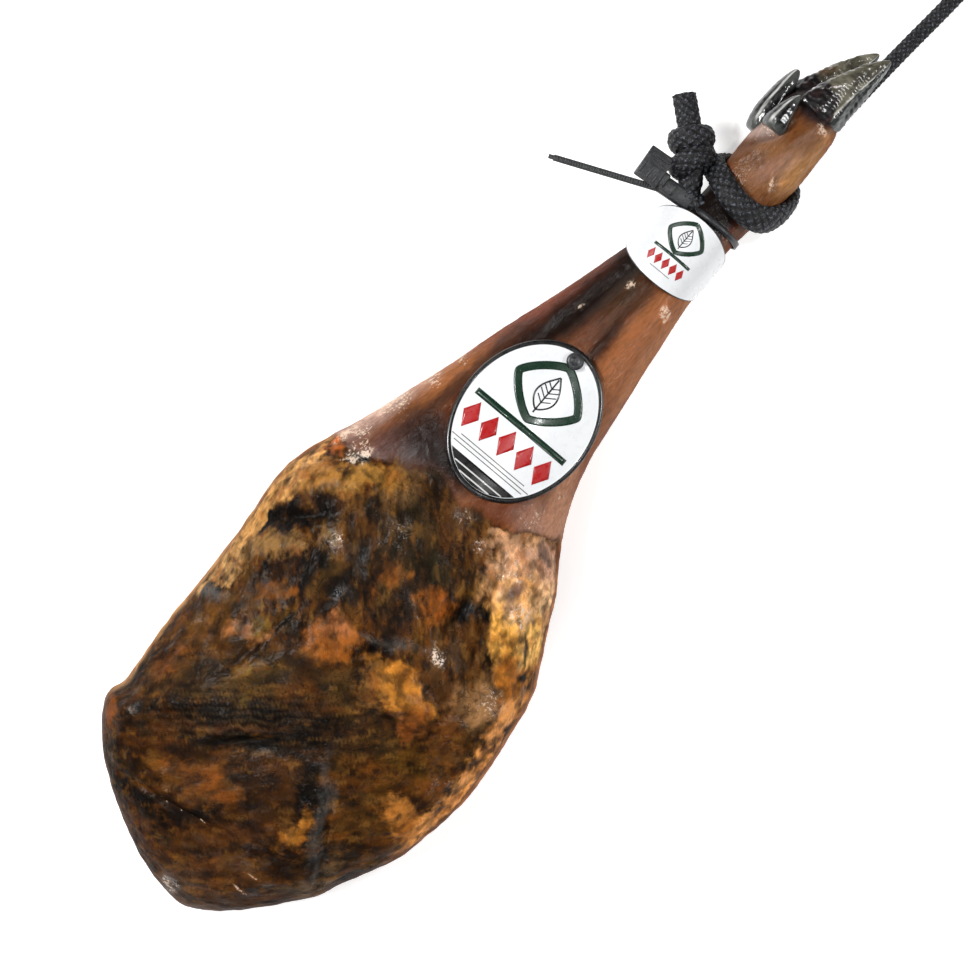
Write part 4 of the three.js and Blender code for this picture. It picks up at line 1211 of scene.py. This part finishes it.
def make_claw(name, root, tip, finish, seed):
    """A toe: a pale sole, a dark wall below its rim, and skin where it grows from the foot."""
    ends = (root, np.array(tip, float))
    made, flat, degrees, _ = horn_surface(
        name, ends, np.array(CLAW_SAG), CLAW_WIDTH, CLAW_DEPTH, CLAW_SHAPE, finish, 1, seed
    )
    x, y = flat[:, 0], flat[:, 1]
    wall = smoothstep(14, -26, degrees) * smoothstep(-185, -150, degrees)
    add_values(made, "wall", np.maximum(wall, smoothstep(120, 165, degrees)))
    start = 581 + 0.4 * (y + 2) - 22 * smoothstep(-12, -22, y)
    add_values(made, "skin", smoothstep(7, -7, x - start))
    add_values(made, "worn", spread(flat, 594, 8, 9, 4, -42, 0.6))
    # Where the painted glints lie on the toes
    glint = sum(spread(flat, *place, 0.9) for place in CLAW_PAINTED_GLINTS)
    add_values(made, "glint", np.clip(glint, 0, 1))
    return made


def make_dewclaw(name, root, tip, shape, finish, seed):
    """A side claw: dark horn, paler at both ends, with a painted highlight along one edge."""
    made, _, degrees, t = horn_surface(
        name, (root, tip), SOLE_WAY * 2.5, CLAW_WIDTH, DEWCLAW_DEPTH, shape, finish, 0.3, seed
    )
    add_values(made, "pale", smoothstep(0.6, 1.0, t) + smoothstep(0.25, 0.0, t))
    # Where the painted highlight runs along one edge
    add_values(made, "edge", smoothstep(12, 3, np.abs(degrees - 62)) * smoothstep(0.02, 0.2, t))
    return made


def make_hoof():
    """The two toes and the two side claws, each with the node that it stands for."""
    claw, dewclaw = claw_finish(), dewclaw_finish()
    made = []
    for side, name, tip in CLAWS:
        root = FOOT_CENTRE + TOE_WAY * 12.2 * side
        made.append((make_claw(f"claw_{name}_horn", root, tip, claw, 40 + side), f"claw_{name}"))
    for side, name, root_x, aside, tip_x, tip_aside, shape in DEWCLAWS:
        root = FOOT_CENTRE + SOLE_WAY * 19.5 + TOE_WAY * 12 * side + (0, aside, 0)
        root[0] = root_x
        tip = np.array([tip_x, root[1] + tip_aside, root[2] + 5])
        piece = make_dewclaw(f"dewclaw_{name}_horn", root, tip, shape, dewclaw, 50 + side)
        made.append((piece, f"dewclaw_{name}"))
    return made


# Rope

def braid(name, line, flat_way, width, thickness, finish, closed=False):
    """A braid along a line, its strands crossing over and under each other."""
    line = np.asarray(line)
    if closed:
        before, after = np.roll(line, 1, axis=0), np.roll(line, -1, axis=0)
    else:
        before = np.vstack([line[0], line[:-1]])
        after = np.vstack([line[1:], line[-1]])
    way = after - before
    way /= np.linalg.norm(way, axis=1)[:, None]
    flat = np.broadcast_to(flat_way, line.shape).astype(float)
    flat = flat - (flat * way).sum(1)[:, None] * way
    flat /= np.linalg.norm(flat, axis=1)[:, None]
    across = np.cross(way, flat)
    width = np.broadcast_to(width, len(line))
    thickness = np.broadcast_to(thickness, len(line))
    columns = BRAID_STRANDS * 8
    a = np.linspace(0, 2 * math.pi, columns, endpoint=False)
    along = np.concatenate([[0], np.cumsum(np.linalg.norm(np.diff(line, axis=0), axis=1))])
    around = math.pi * (width.mean() + thickness.mean()) / 2
    pitch = around / BRAID_STRANDS * BRAID_LAY
    turn = a / (2 * math.pi) * BRAID_STRANDS
    run = along / pitch
    if closed:
        whole = np.linalg.norm(line[0] - line[-1]) + along[-1]
        run = along * round(whole / pitch) / whole
    u = run[:, None] + turn[None]
    v = run[:, None] - turn[None]
    over = (np.floor(u) + np.floor(v)) % 2 == 0
    first = np.sqrt(np.clip(1 - (2 * (v % 1) - 1) ** 2, 0, 1))
    second = np.sqrt(np.clip(1 - (2 * (u % 1) - 1) ** 2, 0, 1))
    top = np.where(over, first * (0.6 + 0.4 * second), second * (0.6 + 0.4 * first))
    out = np.cos(a)[None, :, None] * flat[:, None] * thickness[:, None, None] / 2
    out = out + np.sin(a)[None, :, None] * across[:, None] * width[:, None, None] / 2
    length = np.linalg.norm(out, axis=2, keepdims=True)
    rings = line[:, None] + out / length * (length - 1.4 + 1.8 * top[..., None])
    made = ring_tube(name, rings, [finish], closed)
    add_values(made, "strand", top.ravel())
    return made


def hanging_line():
    """The hanging cord's route, from below the ankle to the end that is laid back beside it."""
    x, y, z = HANGING_END
    beside = y + HANGING_DIAMETER + 0.6
    low = HANGING_DIAMETER / 2
    middle = (HANGING_START + HANGING_END) / 2
    places = [
        tuple(HANGING_START),
        (middle[0], middle[1], low),
        (x - 34, y + 0.6, z),
        (x, y, z),
        (x + EYE_LENGTH * 0.3, y - 8, low),
        (x + EYE_LENGTH * 0.7, y - EYE_HALF_WIDTH + 5, low),
        (x + EYE_LENGTH, y + 6, low),
        (x + EYE_LENGTH * 0.7, beside + EYE_HALF_WIDTH - 5, low),
        (x + EYE_LENGTH * 0.3, beside + 8, low),
        (x, beside, z),
        (x - 34, beside + 0.6, z),
    ]
    return curve_through(places, 620)


def make_cord(finish):
    """The hanging cord, and the line that it follows."""
    line = hanging_line()
    size = HANGING_DIAMETER - 0.2
    return braid("cord_braid", line, (0, 0, 1.0), size, size, finish), line


def make_lashing(finish):
    """Thread wound round the cord and its laid-back end."""
    x, y, z = HANGING_END
    half = (HANGING_DIAMETER + 0.6) / 2
    rows, columns = LASHING_GRID
    a = np.linspace(0, 2 * math.pi, columns, endpoint=False)
    reach = HANGING_DIAMETER / 2 + 0.5
    rings = []
    for i in range(rows):
        s = i / (rows - 1)
        lean = s * LASHING_TURNS + a / (2 * math.pi)
        lift = LASHING_THREAD * np.sqrt(np.abs(np.sin(math.pi * lean)))
        if i in (0, rows - 1):
            lift = lift * 0 - 0.3
        far = np.maximum(reach + lift - 0.2, 0)
        ring_y = np.cos(a) * far + half * np.clip(np.cos(a) * 3, -1, 1)
        ring_z = np.sin(a) * far
        ring_x = np.full(columns, x + LASHING_FROM + s * LASHING_LENGTH)
        rings.append(np.stack([ring_x, y + 0.3 + half + ring_y, z + ring_z], axis=1))
    made = ring_tube("lashing_thread", rings, [finish])
    add_values(made, "strand", np.full(len(made.data.vertices), 0.7))
    return made


def make_tie(finish):
    """The braid round the ankle, its knot and its cut end."""
    a = np.linspace(0, 2 * math.pi, 260, endpoint=False)
    slant = -3 * np.cos(a) - 19 * np.sin(a) + 4 * np.sin(2 * a)
    outward = np.stack([0 * a, COLLAR_HALF_WIDE * np.cos(a), COLLAR_HALF_HIGH * np.sin(a)], axis=1)
    ring = np.array(COLLAR_CENTRE) + outward + np.stack([slant, 0 * a, 0 * a], axis=1)
    width = CORD_WIDTH + (COLLAR_WIDTH - CORD_WIDTH) / 2 * (1 - np.cos(a))
    pieces = [braid("collar", ring, outward, width, CORD_THICKNESS, finish, closed=True)]
    for places, count in TIE_STRANDS:
        line = curve_through(places, count)
        pieces.append(braid("strand", line, (0, 0, 1.0), CORD_WIDTH, CORD_THICKNESS, finish))
    b = np.linspace(0, 2 * math.pi, 120, endpoint=False)
    for centre, aside, reach in TIE_LOOPS:
        out = reach * (np.outer(np.cos(b), aside) + np.outer(np.sin(b), (0, 0, 1.0)))
        pieces.append(braid("loop", centre + out, out, CORD_WIDTH, CORD_THICKNESS, finish, closed=True))
    return joined("tie_braid", pieces)


# Seal

def rounded_block(centre, size, turn, finish, bevel=0.8, segments=3):
    """A block with rounded edges, turned about Z in degrees."""
    work = bmesh.new()
    bmesh.ops.create_cube(work, size=1)
    bmesh.ops.scale(work, vec=Vector(size) * MM, verts=work.verts)
    offset = min(bevel, min(size) * 0.45) * MM
    bmesh.ops.bevel(work, geom=work.edges[:], offset=offset, segments=segments, profile=0.5, affect="EDGES")
    place_there = Matrix.Translation(Vector(centre) * MM) @ Matrix.Rotation(math.radians(turn), 4, "Z")
    bmesh.ops.transform(work, matrix=place_there, verts=work.verts)
    mesh = bpy.data.meshes.new("block")
    work.to_mesh(mesh)
    work.free()
    mesh.materials.append(finish)
    mesh.polygons.foreach_set("use_smooth", [True] * len(mesh.polygons))
    return linked("block", mesh)


def seal_strap(finish):
    """The strap round the ankle."""
    rings = []
    for angle in np.linspace(0, 2 * math.pi, 120, endpoint=False):
        c, s = math.cos(angle), math.sin(angle)
        out = np.array([0, c * STRAP_HALF_WIDE, s * (STRAP_HALF_UP if s > 0 else STRAP_HALF_DOWN)])
        hub = np.array(STRAP_CENTRE) + out
        way = out / np.linalg.norm(out)
        rings.append([hub + np.array([dx, 0, 0]) + way * dz for dx, dz in STRAP_SECTION])
    return ring_tube("strap", rings, [finish], closed=True)


def seal_tail(finish):
    """The tail's links, with a tooth on each but those at its ends."""
    turn = math.degrees(math.atan2(TAIL_WAY[1], TAIL_WAY[0]))
    made = []
    for k in range(TAIL_LINKS):
        s = TAIL_LENGTH * (k + 0.5) / TAIL_LINKS
        taper = 1 if s < TAIL_LENGTH * 0.95 else 0.7
        at = TAIL_FROM + TAIL_WAY * s
        link = (TAIL_LENGTH / TAIL_LINKS + 0.5, 4.9 * taper, 1.6)
        made.append(rounded_block(at, link, turn, finish, 0.4, 2))
        if 8 < s < TAIL_LENGTH - 6:
            made.append(rounded_block(at + (0, 0, 0.9), (1.1, 3.8, 1.2), turn, finish, 0.35, 2))
    return made


def make_seal(finish):
    """Strap round the ankle, lock, ribbed flag and notched tail, one moulding."""
    pieces = [seal_strap(finish), *seal_tail(finish)]
    blocks = list(SEAL_BLOCKS)
    blocks += [(FLAG + (1.5 + 3 * k, 0.2 * k - 2, 1.5), (1.5, 13, 1.8), 5, 0.6) for k in range(4)]
    blocks += [(FLAG + (-5, y, 1.4), (10, 1.4, 1.6), 5, 0.5) for y in (-6, 0, 7)]
    pieces += [rounded_block(centre, size, turn, finish, bevel) for centre, size, turn, bevel in blocks]
    return joined("seal_moulding", pieces)


# Labels. A print is laid on a surface as thin ribbons. Each is a line with a half width along it.

def ribbon(line, half_widths, surface, finish, thickness=0.16, columns=6):
    """A thin piece of print on a surface. The line is in the label's own plane."""
    line = np.asarray(line, float)
    way = np.gradient(line, axis=0)
    way /= np.linalg.norm(way, axis=1)[:, None]
    aside = np.stack([-way[:, 1], way[:, 0]], axis=1)
    half = np.maximum(np.asarray(half_widths, float), 0.05)
    across = np.linspace(-1, 1, columns)
    flat = line[:, None] + aside[:, None] * (half[:, None] * across)[..., None]
    rows = len(line)
    top = surface(flat.reshape(-1, 2), thickness).reshape(rows, columns, 3)
    bottom = surface(flat.reshape(-1, 2), -thickness).reshape(rows, columns, 3)
    rings = np.concatenate([top, bottom[:, ::-1]], axis=1)
    return ring_tube("print", rings, [finish])


def straight(start, end, count):
    """Even points from start to end."""
    return np.linspace(start, end, count)


def framed_leaf(centre, size, surface, green, ink):
    """A four-cornered frame round a leaf drawn in thin lines."""
    cx, cy = centre
    made = []
    a = np.linspace(0, 2 * math.pi, 121)
    x = np.sign(np.cos(a)) * np.abs(np.cos(a)) ** 1.55 * size
    y = np.sign(np.sin(a)) * np.abs(np.sin(a)) ** 1.55 * size * 1.15
    made.append(ribbon(np.stack([cx + x, cy + y], axis=1), [size * 0.13] * 121, surface, green))
    s = np.linspace(0, 1, 25)
    thin = size * 0.018
    foot = cx - size * 0.62
    for side in (-1, 1):
        bow = side * size * 0.36 * np.sin(math.pi * s**0.8)
        line = np.stack([foot + s * size * 1.24, cy + bow], axis=1)
        made.append(ribbon(line, [thin * 1.5] * 25, surface, ink, columns=3))
        for k in (0.24, 0.4, 0.56, 0.72):
            reach = size * 0.3 * math.sin(math.pi * k**0.8)
            start = (foot + k * size * 1.1, cy)
            end = (start[0] + reach * 0.7, cy + side * reach)
            made.append(ribbon(straight(start, end, 6), [thin] * 6, surface, ink, columns=3))
    stalk = straight((foot - size * 0.12, cy), (foot + size * 1.16, cy), 12)
    made.append(ribbon(stalk, [thin * 1.4] * 12, surface, ink, columns=3))
    return made


def lozenges(x, low, high, count, half_long, surface, finish):
    """A row of lozenges across the label."""
    gap = (high - low) / count
    made = []
    for i in range(count):
        y = low + gap * (i + 0.5)
        half = gap * 0.42
        width = [half * (1 - abs(s)) for s in np.linspace(-1, 1, 9)]
        made.append(ribbon(straight((x - half_long, y), (x + half_long, y), 9), width, surface, finish))
    return made


def oval_surface():
    """The label's upper face, a function from its plane to space."""
    _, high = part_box("oval_label")

    def shape(flat):
        x = flat[:, 0] - OVAL_CENTRE[0]
        y = flat[:, 1] - OVAL_CENTRE[1]
        far = np.sqrt((x / OVAL_HALF_LONG) ** 2 + (y / OVAL_HALF_WIDE) ** 2)
        dome = OVAL_DOME * np.clip(1 - (far / 0.94) ** 2, 0, 1)
        return OVAL_SLOPE * x - y**2 / (2 * OVAL_BEND) + dome

    rim = np.array([[OVAL_CENTRE[0] - OVAL_HALF_LONG * 0.975, OVAL_CENTRE[1]]])
    lift = high.z / MM - shape(rim)[0] - 1.4

    def surface(flat, above=0.0):
        flat = np.asarray(flat, float)
        return np.column_stack([flat, shape(flat) + lift + OVAL_THICKNESS - 0.6 + above])

    return surface


def oval_plate(surface, white, black):
    """A plate with a raised rim, from its middle over the rim to its middle below."""
    a = np.linspace(0, 2 * math.pi, OVAL_COLUMNS, endpoint=False)
    rings = []
    for far, above in OVAL_PROFILE:
        x = np.cos(a) * OVAL_HALF_LONG * far
        y = np.sin(a) * OVAL_HALF_WIDE * far / (1 + 0.03 * np.cos(a) ** 3)
        rings.append(surface(OVAL_CENTRE + np.stack([x, y], axis=1), above))
    plate = ring_tube("plate", rings, [white, black])
    bands = len(OVAL_PROFILE) - 1
    faces = np.repeat([0] * OVAL_WHITE_BANDS + [1] * (bands - OVAL_WHITE_BANDS), OVAL_COLUMNS)
    plate.data.polygons.foreach_set("material_index", [*faces.tolist(), 0, 1])
    return plate


def oval_foot(surface, black):
    """The black end of the label, from its edge to a straight line across it."""
    long, wide = OVAL_HALF_LONG * FOOT_REACH, OVAL_HALF_WIDE * FOOT_REACH
    half_arc = math.acos((OVAL_CENTRE[0] - FOOT_LINE_X) / long)
    rings = []
    for angle in np.linspace(-half_arc, half_arc, 40):
        edge = OVAL_CENTRE[0] - long * np.cos(angle)
        across = (edge + FOOT_LINE_X) / 2 + np.linspace(-1, 1, 8) * (FOOT_LINE_X - edge) / 2
        flat = np.stack([across, np.full(8, OVAL_CENTRE[1] - wide * np.sin(angle))], axis=1)
        rings.append(np.concatenate([surface(flat, 0.14), surface(flat, -0.3)[::-1]]))
    return ring_tube("foot", rings, [black])


def make_oval(white, black, pale, green, red, brown):
    """A domed plate with a raised rim, a black foot and a generic print."""
    surface = oval_surface()
    middle = OVAL_CENTRE[1]

    def cross_line(x, half_long, half_width, finish, above=0.12, count=20):
        line = straight((x, middle - half_long), (x, middle + half_long), count)
        return ribbon(line, [half_width] * count, surface, finish, above, 3)

    pieces = [oval_plate(surface, white, black), oval_foot(surface, black)]
    pieces += [cross_line(x, half_long, 0.55, pale, 0.24, 16) for x, half_long in PALE_LINES]
    pieces += [cross_line(x, half_long, 0.35, brown) for x, half_long in GREY_LINES]
    pieces += lozenges(220, middle - 42, middle + 42, 5, 11.5, surface, red)
    pieces.append(cross_line(236.5, 42, 2.6, green, count=30))
    pieces += framed_leaf((268, middle), 24, surface, green, black)
    return joined("oval_label_card", pieces)


def band_point(angle, x, out=0.0):
    """A place on the band, by its angle round the ankle and its X."""
    y = BAND_CENTRE[1] + (BAND_HALF_WIDE + out) * np.cos(angle)
    z = BAND_CENTRE[2] + (BAND_HALF_HIGH + out) * np.sin(angle)
    return np.stack([x, y, z], axis=-1)


def band_surface(flat, above=0.0):
    """From the band's own plane, X and length round it from its front, to space."""
    flat = np.asarray(flat, float)
    angle = math.pi / 2 - flat[:, 1] / BAND_HALF_WIDE
    return band_point(angle, flat[:, 0], 0.45 + above)


def make_band(white, black, green, red, brown):
    """A paper band, wide in front with round ends, and a generic print."""
    columns = 160
    a = np.linspace(0, 2 * math.pi, columns, endpoint=False)
    facing = np.sin(a)
    half = 15 + facing * np.where(facing > 0, 15, 4)
    rings = [band_point(a, BAND_CENTRE[0] + half * share, out) for share, out in BAND_SECTION]
    sheet = ring_tube("sheet", rings, [white, black], closed=True)
    edge = np.isin(np.arange(len(rings)), BAND_EDGE_ROWS)
    sheet.data.polygons.foreach_set("material_index", np.repeat(edge, columns).astype(int).tolist())
    pieces = [sheet]
    pieces += framed_leaf((422, 1), 13, band_surface, green, black)
    pieces.append(ribbon(straight((406, -16), (406, 18), 20), [1.2] * 20, band_surface, green, 0.1, 3))
    pieces += lozenges(398, -16, 18, 5, 5.2, band_surface, red)
    pieces.append(ribbon(straight((391, -8), (391, 10), 12), [0.25] * 12, band_surface, brown, 0.1, 3))
    return joined("band_label_paper", pieces)


def make_button(finish):
    """A domed rivet with a dimple."""
    low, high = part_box("label_button")
    x, y, _ = (low + high) / 2 / MM
    base = low.z / MM + 0.9
    a = np.linspace(0, 2 * math.pi, 48, endpoint=False)
    rings = []
    for r, z in RIVET_PROFILE:
        px = x + r * np.cos(a)
        py = y + r * np.sin(a)
        rings.append(np.stack([px, py, base + z + OVAL_SLOPE * (px - x)], axis=1))
    return ring_tube("label_rivet", rings, [finish])


# Stage

def make_camera():
    """A long lens straight above the ham."""
    data = bpy.data.cameras.new("camera")
    data.lens = LENS_MM
    data.sensor_width = SENSOR_MM
    camera = linked("camera", data)
    camera.location = CAMERA_AT
    camera.rotation_euler = (0, 0, CAMERA_TURN)
    bpy.context.scene.camera = camera


def area_light(name, bearing, height, distance, size, power):
    """A round soft light that looks at the ham."""
    data = bpy.data.lights.new(name, "AREA")
    data.shape = "DISK"
    data.size = size
    data.energy = power
    light = linked(name, data)
    a, e = math.radians(bearing), math.radians(height)
    way = Vector((math.cos(a) * math.cos(e), math.sin(a) * math.cos(e), math.sin(e)))
    light.location = LIGHT_TARGET + way * distance
    light.rotation_euler = (-way).to_track_quat("-Z", "Y").to_euler()


def make_stage():
    """A pale floor, a faint even world light and the lamps."""
    corners = np.array([(-1, -1, 0), (1, -1, 0), (1, 1, 0), (-1, 1, 0)]) * FLOOR_HALF + (0, 0, FLOOR_Z)
    mesh_object("floor", corners, [(0, 1, 2, 3)], [floor_finish()], smooth=False)
    world = bpy.data.worlds.new("studio")
    world.use_nodes = True
    background = world.node_tree.nodes["Background"]
    background.inputs["Color"].default_value = (1, 1, 1, 1)
    background.inputs["Strength"].default_value = WORLD_STRENGTH
    bpy.context.scene.world = world
    for row in LIGHTS:
        area_light(*row)
    bpy.context.scene.view_settings.view_transform = "Standard"


def place(piece, node, slot):
    """Sets a piece on the body in the place of its node."""
    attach(piece, "root")
    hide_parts(node)


make_camera()
braid_black = braid_finish()
cord, cord_line = make_cord(braid_black)
lashing = make_lashing(braid_black)
place(cord, "hanging_cord", "braid")
place(lashing, "eye_lashing", "braid")
length = float(np.linalg.norm(np.diff(cord_line, axis=0), axis=1).sum()) * MM

make_stage()
place(make_ham(), "ham", "cured_meat")
for horn, node in make_hoof():
    place(horn, node, "horn")
place(make_tie(braid_black), "tie_rope", "braid")
plastic = plastic_finish()
place(make_seal(plastic), "seal", "seal_plastic")
white = paper_finish("label_white", srgb(226, 228, 230))
black = paper_finish("label_black", srgb(15, 14, 14))
pale = paper_finish("label_pale_line", srgb(205, 205, 202))
green = paper_finish("print_green", srgb(12, 44, 28))
red = paper_finish("print_red", srgb(168, 18, 20))
brown = paper_finish("print_grey_brown", srgb(96, 88, 78))
place(make_oval(white, black, pale, green, red, brown), "oval_label", "label_card")
place(make_band(white, black, green, red, brown), "paper_band", "printed_paper")
place(make_button(plastic), "label_button", "seal_plastic")
